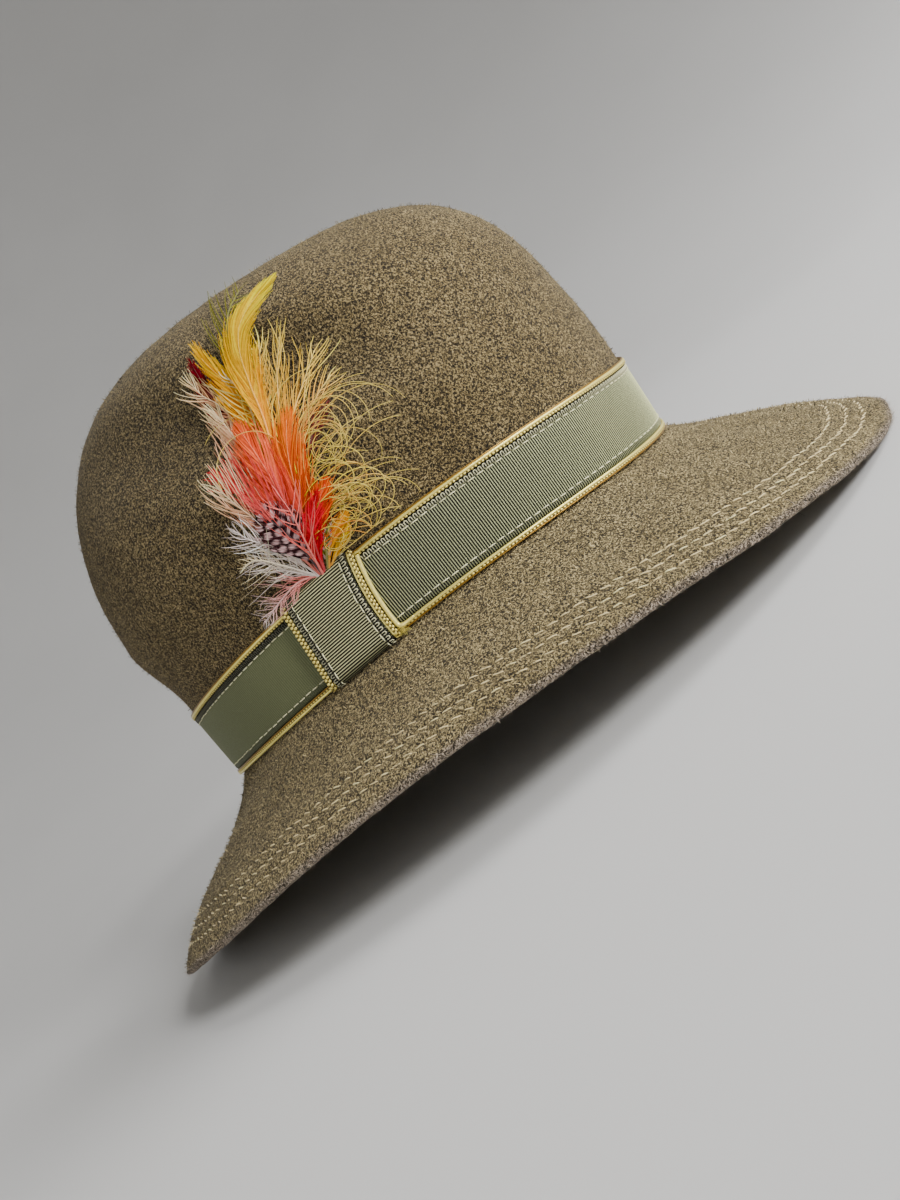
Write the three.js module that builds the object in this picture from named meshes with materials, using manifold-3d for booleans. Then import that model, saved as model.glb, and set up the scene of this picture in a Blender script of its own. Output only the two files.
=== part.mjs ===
import * as THREE from "three";
import { mergeVertices } from "three/addons/utils/BufferGeometryUtils.js";
import Module from "manifold-3d";

// A wool felt hat for a medium head, standing on the front and back of its brim.
// Millimetres, +Z up, the front towards -Y and the wearer's right towards -X.
// A turn is the angle round the crown: 0 at the front, a quarter circle at the wearer's right.
// Sizes that change round the hat are given at its front, its back and its sides.

// Felt wall, and the oval where crown and brim meet, measured outside the felt
const FELT = 2.2;
const FOOT_HALF_LENGTH = 100.2;
const FOOT_HALF_WIDTH = 83.2;
const FOOT_HEIGHT = { front: 39.8, back: 43.7, side: 53 };

// Brim: how far it reaches from the crown's foot; how high its edge lies; how much further and
// higher its back corners go, and how much higher its front ones; and how its slope hollows near
// the foot and rounds near the edge, each as a share of the brim's whole drop
const BRIM_REACH = { front: 60.5, back: 54, side: 46.5 };
const BRIM_EDGE_HEIGHT = 0.5;
const BRIM_SIDE_LIFT = 26.6;
const BRIM_CORNER = { reach: 10, lift: 3.1 };
const BRIM_FRONT_CORNER_LIFT = 1.9;
const BRIM_HOLLOW = { front: 0.05, back: 0.12, side: 0.06 };
const BRIM_ROUND = { front: 0.02, back: 0.16, side: 0.03 };
const REST_ARC = 0.04;
const CUBIC_PEAK = 27 / 4;

// Upright wall under the band, and how far it leans outwards up to the band's top
const BAND_HEIGHT = 27.5;
const WALL_LEAN = { front: 3.5, back: -1, side: -2.1 };

// Crown above the band, a dome whose roundness changes round the hat
const CROWN_TOP = 175.6;
const CROWN_ROUNDNESS = { front: 3.7, back: 2.5, side: 2.9 };
const CROWN_SLOPE = 0.156;
const CROWN_LEAN = -8.6;
const CROWN_BULGE = { front: -1.4, back: 6.4, side: 2.5 };
const BULGE_RISE = 0.12;

// Dents: a long one along each side below the rim, and a shallow one along the top
const SIDE_DENT = { depth: 9, y: -12, z: 137, halfLength: 52, halfHeight: 17, slope: 0.3, clear: 30 };
const TOP_DENT = { depth: 6, y: -4, halfLength: 50, halfWidth: 19, fadeLow: 136, fadeHigh: 161 };
const DENT_FLATNESS = 2.6;

// Rings and rows of the felt's faces
const SEGMENTS = 64;
const BRIM_ROWS = [1, 0.99, 0.97, 0.87, 0.73, 0.59, 0.45, 0.31, 0.18, 0.07];
const WALL_ROWS = [0, 0.5];
const CROWN_ROWS = 12;
const CROWN_ROW_SPREAD = 1.3;

// Ribbon and cords, as heights on the wall and distances out from it
const RIBBON = { low: 2.6, high: 25.4, inner: 0.35, outer: 1.15 };
const CORD_RADIUS = 1;
const CORD_OUT = 1.4;
const CORD_SIDES = 6;
const BAND_CORD_LOW = 1.2;
const BAND_CORD_HIGH = 26.8;
const END_CORD = { radius: 0.85, out: 2.35, low: 3.2, high: 24.8 };

// Keeper: a ribbon strip with a cord along each side, leaning a little towards the back
const KEEPER = { width: 20.9, low: -0.6, high: 29.5, inner: 2.8, outer: 3.8, tuck: 0.35 };
const KEEPER_STEPS = 8;
const KEEPER_TURN = THREE.MathUtils.degToRad(91.45);
const KEEPER_LEAN = 0.13;
const KEEPER_CORD = { radius: 1.1, out: 3.4, low: -0.6, high: 29.5 };
const CORD_GAP = 0.3;
const UPRIGHT_STEPS = 8;

// Hackles of the spray, from the keeper up the crown. Each row gives, at its foot, its middle
// and its tip, the turn and the rise up the dome in degrees, the distance out from the felt,
// and the blade's greatest width.
const BLADE_THICKNESS = 0.9;
const BLADE_STEPS = 7;
const BLADE_END = 0.16;
const HACKLES = [
  { name: "quills", turn: [92.5, 91, 90], rise: [0.6, 3, 6.5], out: [1.45, 2, 2.6], width: 13 },
  { name: "yellow_curl", turn: [90, 79, 58], rise: [2, 38, 48], out: [2, 7, 10], width: 9 },
  { name: "gold_left", turn: [91, 84, 84], rise: [2, 27, 50], out: [2, 6, 8], width: 10 },
  { name: "dark_red", turn: [92, 87, 85], rise: [2, 28, 48], out: [1.8, 4, 5], width: 8 },
  { name: "cream", turn: [93, 88.5, 88], rise: [2, 26, 48], out: [1.8, 5, 7], width: 8 },
  { name: "fan_middle", turn: [90, 77, 65], rise: [2, 19, 35], out: [2, 6, 9], width: 12 },
  { name: "fan_right", turn: [89, 75, 66], rise: [2, 16, 23], out: [2, 5, 8], width: 12 },
  { name: "orange", turn: [90, 85, 82], rise: [2, 14, 27], out: [2.2, 8, 11], width: 12 },
  { name: "coral", turn: [92, 91, 93], rise: [2, 10, 20], out: [2.2, 6, 8], width: 11 },
  { name: "guinea", turn: [92, 92.5, 93], rise: [1.5, 6, 13], out: [2.4, 6, 8], width: 10 },
  { name: "white_wisps", turn: [93, 95, 96.5], rise: [1.2, 6, 14], out: [2, 4, 5], width: 9 },
  { name: "red", turn: [89, 85.5, 80], rise: [1.5, 4, 8], out: [2.2, 5.5, 8], width: 8 },
  { name: "yellow_small", turn: [88.5, 83, 78.5], rise: [1.2, 2.5, 4], out: [2, 5, 7], width: 6 },
  { name: "hackle_high", turn: [90, 76, 66], rise: [1.5, 8, 9], out: [2, 6, 9], width: 10 },
  { name: "hackle_low", turn: [89, 78, 69], rise: [1.2, 3.5, 3], out: [2, 5, 7], width: 8 },
  { name: "fluff", turn: [92, 95, 99], rise: [1, 1.8, 2.4], out: [1.8, 3.4, 4.5], width: 4 },
];

const wasm = await Module();
wasm.setup();

// Value of a size at one turn, blended smoothly from its front, back and side values.
function around(turn, size) {
  const ahead = Math.cos(turn);
  const front = Math.max(0, ahead) ** 2;
  const back = Math.max(0, -ahead) ** 2;
  return size.front * front + size.back * back + size.side * (1 - front - back);
}

// Point at one turn of an oval whose half length and half width grow by the given sizes.
function ovalPoint(turn, growth, height) {
  const lengthways = Math.cos(turn) > 0 ? growth.front : growth.back;
  return new THREE.Vector3(
    -(FOOT_HALF_WIDTH + growth.side) * Math.sin(turn),
    -(FOOT_HALF_LENGTH + lengthways) * Math.cos(turn),
    height,
  );
}

function scaled(size, factor) {
  return { front: size.front * factor, back: size.back * factor, side: size.side * factor };
}

// Level direction straight out from the crown's foot.
function footNormal(turn) {
  const across = -Math.sin(turn) / FOOT_HALF_WIDTH;
  const along = -Math.cos(turn) / FOOT_HALF_LENGTH;
  return new THREE.Vector3(across, along, 0).normalize();
}

// How far a turn lies on a corner: 1 halfway between a side and the front or back.
function cornerShare(turn) {
  return Math.sin(2 * turn) ** 2;
}

function brimReach(turn) {
  const furtherBy = Math.cos(turn) < 0 ? BRIM_CORNER.reach : 0;
  return around(turn, BRIM_REACH) + furtherBy * cornerShare(turn);
}

function brimEdgeHeight(turn) {
  const sideways = Math.max(0, (Math.sin(turn) ** 2 - REST_ARC) / (1 - REST_ARC));
  const higherBy = Math.cos(turn) < 0 ? BRIM_CORNER.lift : BRIM_FRONT_CORNER_LIFT;
  const corner = higherBy * cornerShare(turn) * Math.min(1, sideways / REST_ARC);
  return BRIM_EDGE_HEIGHT + BRIM_SIDE_LIFT * sideways + corner;
}

// Top of the brim, with out running from 0 at the crown's foot to 1 at the edge.
function brimPoint(turn, out) {
  const foot = around(turn, FOOT_HEIGHT);
  const hollow = around(turn, BRIM_HOLLOW) * CUBIC_PEAK * out * (1 - out) ** 2;
  const round = around(turn, BRIM_ROUND) * CUBIC_PEAK * out ** 2 * (1 - out);
  const height = foot + (brimEdgeHeight(turn) - foot) * (out + hollow - round);
  const point = ovalPoint(turn, { front: 0, back: 0, side: 0 }, height);
  return point.addScaledVector(footNormal(turn), brimReach(turn) * out);
}

// Outside of the wall under the band, at a height above the crown's foot.
function wallPoint(turn, height) {
  const growth = scaled(WALL_LEAN, height / BAND_HEIGHT);
  return ovalPoint(turn, growth, around(turn, FOOT_HEIGHT) + height);
}

// Share of a dent's depth at a distance from its middle, counted in half sizes of the dent.
function dentShare(along, across) {
  return Math.exp(-(Math.hypot(along, across) ** DENT_FLATNESS));
}

// Presses the side dents and the top dent into a point of the dome.
function pressDents(point) {
  const along = (point.y - SIDE_DENT.y) / SIDE_DENT.halfLength;
  const middle = SIDE_DENT.z + SIDE_DENT.slope * (point.y - SIDE_DENT.y);
  const across = (point.z - middle) / SIDE_DENT.halfHeight;
  const sideways = Math.min(1, Math.abs(point.x) / SIDE_DENT.clear);
  const inwards = SIDE_DENT.depth * dentShare(along, across) * sideways;
  const topAlong = (point.y - TOP_DENT.y) / TOP_DENT.halfLength;
  const topAcross = point.x / TOP_DENT.halfWidth;
  const downwards = TOP_DENT.depth * dentShare(topAlong, topAcross);
  const high = THREE.MathUtils.smoothstep(point.z, TOP_DENT.fadeLow, TOP_DENT.fadeHigh);
  point.x -= Math.sign(point.x) * inwards;
  point.z -= downwards * high;
  return point;
}

// Outside of the dome, with rise running from 0 at the band's top to 1 at the crown's middle.
function crownPoint(turn, rise) {
  const point = wallPoint(turn, BAND_HEIGHT);
  const exponent = 2 / around(turn, CROWN_ROUNDNESS);
  const angle = Math.min(rise, 1) * Math.PI / 2;
  const outward = Math.max(0, Math.cos(angle)) ** exponent;
  const upward = Math.sin(angle) ** exponent;
  const swell = around(turn, CROWN_BULGE) * THREE.MathUtils.smoothstep(rise, 0, BULGE_RISE);
  const spread = outward * (1 + swell / Math.hypot(point.x, point.y));
  point.x *= spread;
  point.y *= spread;
  point.z += (CROWN_TOP - point.z + CROWN_SLOPE * point.y) * upward;
  point.y += CROWN_LEAN * upward;
  return pressDents(point);
}

// Whole outside of the felt as one sheet: station 0 at the brim's edge, 1 at the crown's foot,
// 2 at the band's top and 3 at the crown's middle.
function feltPoint(turn, station) {
  if (station < 1) return brimPoint(turn, 1 - station);
  if (station < 2) return wallPoint(turn, (station - 1) * BAND_HEIGHT);
  return crownPoint(turn, station - 2);
}

function feltNormal(turn, station) {
  const step = 0.01;
  const middle = Math.min(Math.max(station, step), 3 - 4 * step);
  const ahead = feltPoint(turn + step, middle).sub(feltPoint(turn - step, middle));
  const upward = feltPoint(turn, middle + step).sub(feltPoint(turn, middle - step));
  return upward.cross(ahead).normalize();
}

// Inside of the felt. Where the brim meets what it stands on, it is pressed flat.
function liningPoint(turn, station) {
  const atMiddle = station >= 3;
  const normal = atMiddle ? new THREE.Vector3(0, 0, 1) : feltNormal(turn, station);
  const point = feltPoint(turn, station).addScaledVector(normal, -FELT);
  point.z = Math.max(0, point.z);
  return point;
}

// Point at a height on the wall and a distance out from it.
function bandPoint(turn, height, out) {
  const step = 0.01;
  const ahead = wallPoint(turn + step, height).sub(wallPoint(turn - step, height)).setZ(0);
  const normal = new THREE.Vector3(-ahead.y, ahead.x, 0).normalize();
  return wallPoint(turn, height).addScaledVector(normal, out);
}

// Point at a rise up the dome and a distance out from it.
function domePoint(turn, rise, out) {
  return feltPoint(turn, 2 + rise).addScaledVector(feltNormal(turn, 2 + rise), out);
}

// Leaves only positions, joins shared vertices, drops empty faces and turns the faces outwards.
function closedSolid(source) {
  const bare = source.clone();
  bare.deleteAttribute("normal");
  bare.deleteAttribute("uv");
  const merged = mergeVertices(bare, 1e-4);
  const position = merged.attributes.position;
  const corner = [0, 1, 2].map(() => new THREE.Vector3());
  const index = [];
  let volume = 0;
  for (let i = 0; i < merged.index.count; i += 3) {
    const face = [0, 1, 2].map((k) => merged.index.getX(i + k));
    if (new Set(face).size < 3) continue;
    face.forEach((vertex, k) => corner[k].fromBufferAttribute(position, vertex));
    volume += corner[0].dot(corner[1].cross(corner[2]));
    index.push(...face);
  }
  if (volume < 0) index.reverse();
  merged.setIndex(index);
  merged.computeVertexNormals();
  return merged;
}

// Lathes a closed profile, then lays each of its points on the hat at its turn.
function ring(profileLength, place) {
  const profile = Array.from({ length: profileLength }, (_, k) => new THREE.Vector2(1, k));
  const geometry = new THREE.LatheGeometry(profile, SEGMENTS);
  const position = geometry.attributes.position;
  for (let i = 0; i < position.count; i += 1) {
    const turn = (Math.floor(i / profileLength) % SEGMENTS) * 2 * Math.PI / SEGMENTS;
    const point = place(turn, i % profileLength);
    position.setXYZ(i, point.x, point.y, point.z);
  }
  return closedSolid(geometry);
}

function feltBody() {
  const stations = BRIM_ROWS.map((out) => 1 - out);
  WALL_ROWS.forEach((part) => stations.push(1 + part));
  for (let row = 0; row <= CROWN_ROWS; row += 1) {
    stations.push(2 + (row / CROWN_ROWS) ** CROWN_ROW_SPREAD);
  }
  const rows = stations.map((station) => [station, feltPoint]);
  rows.push(...stations.toReversed().map((station) => [station, liningPoint]));
  rows.push(rows[0]);
  return ring(rows.length, (turn, k) => rows[k][1](turn, rows[k][0]));
}

function ribbonBand() {
  const { low, high, inner, outer } = RIBBON;
  const corners = [[low, inner], [low, outer], [high, outer], [high, inner], [low, inner]];
  return ring(corners.length, (turn, k) => bandPoint(turn, ...corners[k]));
}

function bandCord(height) {
  return ring(CORD_SIDES + 1, (turn, k) => {
    const angle = (k % CORD_SIDES) * 2 * Math.PI / CORD_SIDES;
    const up = height + CORD_RADIUS * Math.sin(angle);
    return bandPoint(turn, up, CORD_OUT + CORD_RADIUS * Math.cos(angle));
  });
}

// Turn of a line on the keeper that lies a distance towards the back of its middle.
function keeperTurn(towardsBack, height) {
  const lean = KEEPER_LEAN * (BAND_HEIGHT / 2 - height);
  return KEEPER_TURN + (towardsBack + lean) / (FOOT_HALF_WIDTH + KEEPER.outer);
}

function keeper() {
  const geometry = new THREE.BoxGeometry(1, 1, 1, KEEPER_STEPS, KEEPER_STEPS, 1);
  const position = geometry.attributes.position;
  for (let i = 0; i < position.count; i += 1) {
    const height = THREE.MathUtils.lerp(KEEPER.low, KEEPER.high, position.getY(i) + 0.5);
    const atEnd = Math.abs(position.getY(i)) === 0.5;
    const outer = position.getZ(i) > 0;
    const out = outer ? KEEPER.outer - (atEnd ? KEEPER.tuck : 0) : KEEPER.inner;
    const point = bandPoint(keeperTurn(position.getX(i) * KEEPER.width, height), height, out);
    position.setXYZ(i, point.x, point.y, point.z);
  }
  return closedSolid(geometry);
}

// Straight cord up the wall, at a distance towards the back of the keeper's middle.
function uprightCord(towardsBack, { radius, out, low, high }) {
  const extrudePath = new THREE.CatmullRomCurve3([low, (low + high) / 2, high].map((height) => (
    bandPoint(keeperTurn(towardsBack, height), height, out)
  )));
  const section = new THREE.Shape().absarc(0, 0, radius, 0, 2 * Math.PI);
  const settings = { extrudePath, steps: UPRIGHT_STEPS, curveSegments: CORD_SIDES / 2 + 1 };
  return closedSolid(new THREE.ExtrudeGeometry(section, settings));
}

// A long thin blade on a route over the crown, widest in its middle.
function blade(hackle) {
  const route = new THREE.CatmullRomCurve3(hackle.turn.map((turn, k) => (
    new THREE.Vector3(THREE.MathUtils.degToRad(turn), hackle.rise[k] / 90, hackle.out[k])
  )));
  const placeAt = (along, lift) => {
    const { x: turn, y: rise, z: out } = route.getPoint(THREE.MathUtils.clamp(along, 0, 1));
    return domePoint(turn, rise, out + lift);
  };
  const step = 0.02;
  const geometry = new THREE.BoxGeometry(1, 1, 1, BLADE_STEPS, 2, 1);
  const position = geometry.attributes.position;
  for (let i = 0; i < position.count; i += 1) {
    const along = position.getX(i) + 0.5;
    const centre = placeAt(along, 0);
    const normal = placeAt(along, 1).sub(centre).normalize();
    const ahead = placeAt(along + step, 0).sub(placeAt(along - step, 0));
    const across = normal.clone().cross(ahead).normalize();
    const fullness = BLADE_END + (1 - BLADE_END) * Math.sin(Math.PI * along);
    centre.addScaledVector(across, position.getY(i) * hackle.width * fullness);
    centre.addScaledVector(normal, position.getZ(i) * BLADE_THICKNESS);
    position.setXYZ(i, centre.x, centre.y, centre.z);
  }
  return closedSolid(geometry);
}

function toManifold(geometry) {
  return new wasm.Manifold(new wasm.Mesh({
    numProp: 3,
    vertProperties: new Float32Array(geometry.attributes.position.array),
    triVerts: new Uint32Array(geometry.index.array),
  }));
}

function fromManifold(solid) {
  const mesh = solid.getMesh();
  const geometry = new THREE.BufferGeometry();
  geometry.setAttribute("position", new THREE.BufferAttribute(mesh.vertProperties, 3));
  geometry.setIndex(new THREE.BufferAttribute(mesh.triVerts, 1));
  return geometry;
}

// Fills the small voids that crossing blades shut in, by leaving out their inward shells.
function withoutVoids(geometry) {
  const { position } = geometry.attributes;
  const shellOf = Array.from({ length: position.count }, (_, vertex) => vertex);
  const shell = (vertex) => {
    while (shellOf[vertex] !== vertex) vertex = shellOf[vertex];
    return vertex;
  };
  const faces = [];
  for (let i = 0; i < geometry.index.count; i += 3) {
    const face = [0, 1, 2].map((k) => geometry.index.getX(i + k));
    faces.push(face);
    shellOf[shell(face[1])] = shell(face[0]);
    shellOf[shell(face[2])] = shell(face[0]);
  }
  const volume = new Map();
  faces.forEach((face) => {
    const [a, b, c] = face.map((vertex) => new THREE.Vector3().fromBufferAttribute(position, vertex));
    volume.set(shell(face[0]), (volume.get(shell(face[0])) ?? 0) + a.dot(b.cross(c)));
  });
  geometry.setIndex(faces.filter((face) => volume.get(shell(face[0])) > 0).flat());
  return geometry;
}

function featherSpray() {
  const blades = HACKLES.map((hackle) => toManifold(blade(hackle)));
  return withoutVoids(fromManifold(blades.reduce((whole, next) => whole.add(next))));
}

const MATERIALS = {
  felt: { color: 0x756645, roughness: 0.95 },
  ribbon: { color: 0x6a6c4d, roughness: 0.6 },
  cord: { color: 0xc9a53a, roughness: 0.4, metalness: 0.6 },
  feather: { color: 0xe58a25, roughness: 0.8 },
};

function named(name, geometry, material) {
  const mesh = new THREE.Mesh(geometry, new THREE.MeshStandardMaterial(MATERIALS[material]));
  mesh.name = name;
  return mesh;
}

const cordStep = KEEPER.width / 2 + CORD_GAP + KEEPER_CORD.radius;
const endStep = cordStep + KEEPER_CORD.radius + CORD_GAP + END_CORD.radius;

const hat = new THREE.Group();
hat.add(
  named("felt_body", feltBody(), "felt"),
  named("ribbon_band", ribbonBand(), "ribbon"),
  named("band_cord_top", bandCord(BAND_CORD_HIGH), "cord"),
  named("band_cord_bottom", bandCord(BAND_CORD_LOW), "cord"),
  named("band_end_cord", uprightCord(-endStep, END_CORD), "cord"),
  named("keeper", keeper(), "ribbon"),
  named("keeper_cord_front", uprightCord(-cordStep, KEEPER_CORD), "cord"),
  named("keeper_cord_back", uprightCord(cordStep, KEEPER_CORD), "cord"),
  named("feather_spray", featherSpray(), "feather"),
);

// The brim reaches further in front than behind, so the hat moves back to stand centred.
hat.position.y = (BRIM_REACH.front - BRIM_REACH.back) / 2;

export default hat;
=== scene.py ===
import math

import bmesh
import bpy
import numpy as np
from mathutils import Matrix, Vector


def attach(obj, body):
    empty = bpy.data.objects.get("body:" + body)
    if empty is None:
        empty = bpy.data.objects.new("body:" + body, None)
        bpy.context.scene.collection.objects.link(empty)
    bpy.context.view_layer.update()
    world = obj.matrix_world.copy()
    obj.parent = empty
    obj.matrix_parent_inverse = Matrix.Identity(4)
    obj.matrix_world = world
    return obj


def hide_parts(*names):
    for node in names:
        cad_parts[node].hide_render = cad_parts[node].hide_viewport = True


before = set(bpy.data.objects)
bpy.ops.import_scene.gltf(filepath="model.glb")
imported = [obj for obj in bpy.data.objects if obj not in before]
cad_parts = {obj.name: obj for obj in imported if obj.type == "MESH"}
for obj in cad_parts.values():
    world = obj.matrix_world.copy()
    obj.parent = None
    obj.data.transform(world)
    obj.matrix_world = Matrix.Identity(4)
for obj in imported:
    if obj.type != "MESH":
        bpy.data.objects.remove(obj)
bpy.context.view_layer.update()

MM = 0.001
CIRCLE = 2 * math.pi
FINE_TURNS = 1441

# Felt wall, and the oval where crown and brim meet
FELT = 2.2
FOOT_HALF_LENGTH = 100.2
FOOT_HALF_WIDTH = 83.2
FOOT_HEIGHT = {"front": 39.8, "back": 43.7, "side": 53}

# Brim
BRIM_REACH = {"front": 60.5, "back": 54, "side": 46.5}
BRIM_EDGE_HEIGHT = 0.5
BRIM_SIDE_LIFT = 26.6
BRIM_CORNER = {"reach": 10, "lift": 3.1}
BRIM_FRONT_CORNER_LIFT = 1.9
BRIM_HOLLOW = {"front": 0.05, "back": 0.12, "side": 0.06}
BRIM_ROUND = {"front": 0.02, "back": 0.16, "side": 0.03}
REST_ARC = 0.04
CUBIC_PEAK = 27 / 4
HAT_SHIFT = (BRIM_REACH["front"] - BRIM_REACH["back"]) / 2

# Wall under the band, and the dome above it
BAND_HEIGHT = 27.5
WALL_LEAN = {"front": 3.5, "back": -1, "side": -2.1}
CROWN_TOP = 175.6
CROWN_ROUNDNESS = {"front": 3.7, "back": 2.5, "side": 2.9}
CROWN_SLOPE = 0.156
CROWN_LEAN = -8.6
CROWN_BULGE = {"front": -1.4, "back": 6.4, "side": 2.5}
BULGE_RISE = 0.12
SIDE_DENT = {"depth": 9, "y": -12, "z": 137, "half_length": 52, "half_height": 17, "slope": 0.3,
             "clear": 30}
TOP_DENT = {"depth": 6, "y": -4, "half_length": 50, "half_width": 19, "fade_low": 136,
            "fade_high": 161}
DENT_FLATNESS = 2.6

# Band, keeper and their cords
RIBBON = {"low": 2.6, "high": 25.4, "inner": 0.35, "outer": 1.15}
BAND_CORD = {"out": 1.4, "low": 1.2, "high": 26.8}
END_CORD = {"out": 2.35, "high": 24.8}
KEEPER = {"width": 20.9, "low": -0.6, "high": 29.5, "outer": 3.8}
KEEPER_TURN = math.radians(91.45)
KEEPER_LEAN = 0.13
KEEPER_BOW = 1.2
KEEPER_CORD = {"radius": 1.1, "out": 3.4}
CORD_GAP = 0.3

# Chart of the crown that the spray is laid out on: millimetres for each radian round the crown,
# and for the whole height of the dome
SPRAY_TURN = math.radians(90.6)
SPRAY_RADIUS = 88
SPRAY_HEIGHT = 97


def unit(vectors):
    return vectors / np.maximum(np.linalg.norm(vectors, axis=-1, keepdims=True), 1e-12)


def smoothstep(value, low, high):
    share = np.clip((value - low) / (high - low), 0, 1)
    return share * share * (3 - 2 * share)


def blend(first, second, share):
    return first * (1 - share) + second * share


def bump_at(distance, half_width):
    """1 at a distance of 0, falling smoothly to nothing on both sides."""
    return np.exp(-(distance / half_width) ** 2)


def run_along(line):
    """Distance from a line's first point to each of its points."""
    return np.concatenate([[0], np.cumsum(np.linalg.norm(np.diff(line, axis=0), axis=1))])


def turns_along(line_at, count=0, period=1.0):
    """Turns an even distance apart on a line round the hat: so many, or one to a period."""
    fine = np.linspace(0, CIRCLE, FINE_TURNS)
    run = run_along(line_at(fine))
    count = count or round(run[-1] / period)
    return np.interp(np.arange(count) / count * run[-1], run, fine)


def to_scene(points):
    """Millimetres of the part's source to metres of the frame."""
    return (np.asarray(points, float) + (0, HAT_SHIFT, 0)) * MM


def around(turn, size):
    """Value of a size at a turn, blended from its front, back and side values."""
    front = np.maximum(0, np.cos(turn)) ** 2
    back = np.maximum(0, -np.cos(turn)) ** 2
    return size["front"] * front + size["back"] * back + size["side"] * (1 - front - back)


def oval_point(turn, lengthways, sideways, height):
    return np.stack([
        -(FOOT_HALF_WIDTH + sideways) * np.sin(turn),
        -(FOOT_HALF_LENGTH + lengthways) * np.cos(turn),
        height + 0 * turn,
    ], axis=-1)


def brim_edge_height(turn):
    corner_lift = np.where(np.cos(turn) < 0, BRIM_CORNER["lift"], BRIM_FRONT_CORNER_LIFT)
    sideways = np.maximum(0, (np.sin(turn) ** 2 - REST_ARC) / (1 - REST_ARC))
    lift = corner_lift * np.sin(2 * turn) ** 2 * np.minimum(1, sideways / REST_ARC)
    return BRIM_EDGE_HEIGHT + BRIM_SIDE_LIFT * sideways + lift


def brim_reach(turn):
    corner = np.where(np.cos(turn) < 0, np.sin(2 * turn) ** 2, 0)
    return around(turn, BRIM_REACH) + BRIM_CORNER["reach"] * corner


def brim_point(turn, out):
    """Top of the brim, with out running from 0 at the crown's foot to 1 at the edge."""
    foot = around(turn, FOOT_HEIGHT)
    hollow = around(turn, BRIM_HOLLOW) * CUBIC_PEAK * out * (1 - out) ** 2
    rounding = around(turn, BRIM_ROUND) * CUBIC_PEAK * out ** 2 * (1 - out)
    height = foot + (brim_edge_height(turn) - foot) * (out + hollow - rounding)
    outward = unit(np.stack([
        -np.sin(turn) / FOOT_HALF_WIDTH,
        -np.cos(turn) / FOOT_HALF_LENGTH,
        0 * turn,
    ], axis=-1))
    return oval_point(turn, 0, 0, height) + outward * (brim_reach(turn) * out)[..., None]


def wall_point(turn, height):
    """Outside of the wall under the band, at a height above the crown's foot."""
    share = height / BAND_HEIGHT
    lengthways = np.where(np.cos(turn) > 0, WALL_LEAN["front"], WALL_LEAN["back"]) * share
    return oval_point(turn, lengthways, WALL_LEAN["side"] * share,
                      around(turn, FOOT_HEIGHT) + height)


def dent_share(along, across):
    return np.exp(-(np.hypot(along, across) ** DENT_FLATNESS))


def side_dent_place(y, z):
    """Place along and across the side dent, in its half lengths and half heights."""
    middle = SIDE_DENT["z"] + SIDE_DENT["slope"] * (y - SIDE_DENT["y"])
    return (y - SIDE_DENT["y"]) / SIDE_DENT["half_length"], (z - middle) / SIDE_DENT["half_height"]


def press_dents(point):
    x, y, z = np.moveaxis(point, -1, 0)
    inwards = SIDE_DENT["depth"] * dent_share(*side_dent_place(y, z))
    inwards = inwards * np.minimum(1, np.abs(x) / SIDE_DENT["clear"])
    top_along = (y - TOP_DENT["y"]) / TOP_DENT["half_length"]
    downwards = TOP_DENT["depth"] * dent_share(top_along, x / TOP_DENT["half_width"])
    downwards = downwards * smoothstep(z, TOP_DENT["fade_low"], TOP_DENT["fade_high"])
    return np.stack([x - np.sign(x) * inwards, y, z - downwards], axis=-1)


def crown_point(turn, rise):
    """Outside of the dome, with rise running from 0 at the band's top to 1 at the middle."""
    foot = wall_point(turn, BAND_HEIGHT)
    exponent = 2 / around(turn, CROWN_ROUNDNESS)
    angle = np.minimum(rise, 1) * math.pi / 2
    outward = np.maximum(0, np.cos(angle)) ** exponent
    upward = np.sin(angle) ** exponent
    swell = around(turn, CROWN_BULGE) * smoothstep(rise, 0, BULGE_RISE)
    spread = outward * (1 + swell / np.hypot(foot[..., 0], foot[..., 1]))
    x, y, z = foot[..., 0] * spread, foot[..., 1] * spread, foot[..., 2]
    z = z + (CROWN_TOP - z + CROWN_SLOPE * y) * upward
    return press_dents(np.stack([x, y + CROWN_LEAN * upward, z], axis=-1))


def felt_point(turn, station):
    """Outside of the felt: station 0 at the brim's edge, 1 at the crown's foot, 2 at the
    band's top and 3 at the crown's middle."""
    turn, station = np.broadcast_arrays(np.asarray(turn, float), np.asarray(station, float))
    brim = brim_point(turn, 1 - np.minimum(station, 1))
    wall = wall_point(turn, (np.clip(station, 1, 2) - 1) * BAND_HEIGHT)
    crown = crown_point(turn, np.clip(station - 2, 0, 1))
    station = station[..., None]
    return np.where(station < 1, brim, np.where(station < 2, wall, crown))


def felt_normal(turn, station, step=0.01):
    middle = np.clip(station, step, 3 - 4 * step)
    ahead = felt_point(turn + step, middle) - felt_point(turn - step, middle)
    upward = felt_point(turn, middle + step) - felt_point(turn, middle - step)
    return unit(np.cross(upward, ahead))


def band_normal(turn, height, step=0.01):
    """Level direction straight out of the wall."""
    ahead = wall_point(turn + step, height) - wall_point(turn - step, height)
    return unit(np.stack([-ahead[..., 1], ahead[..., 0], 0 * ahead[..., 0]], axis=-1))


def band_point(turn, height, out):
    out = np.asarray(out, float)[..., None]
    return wall_point(turn, height) + band_normal(turn, height) * out


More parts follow.
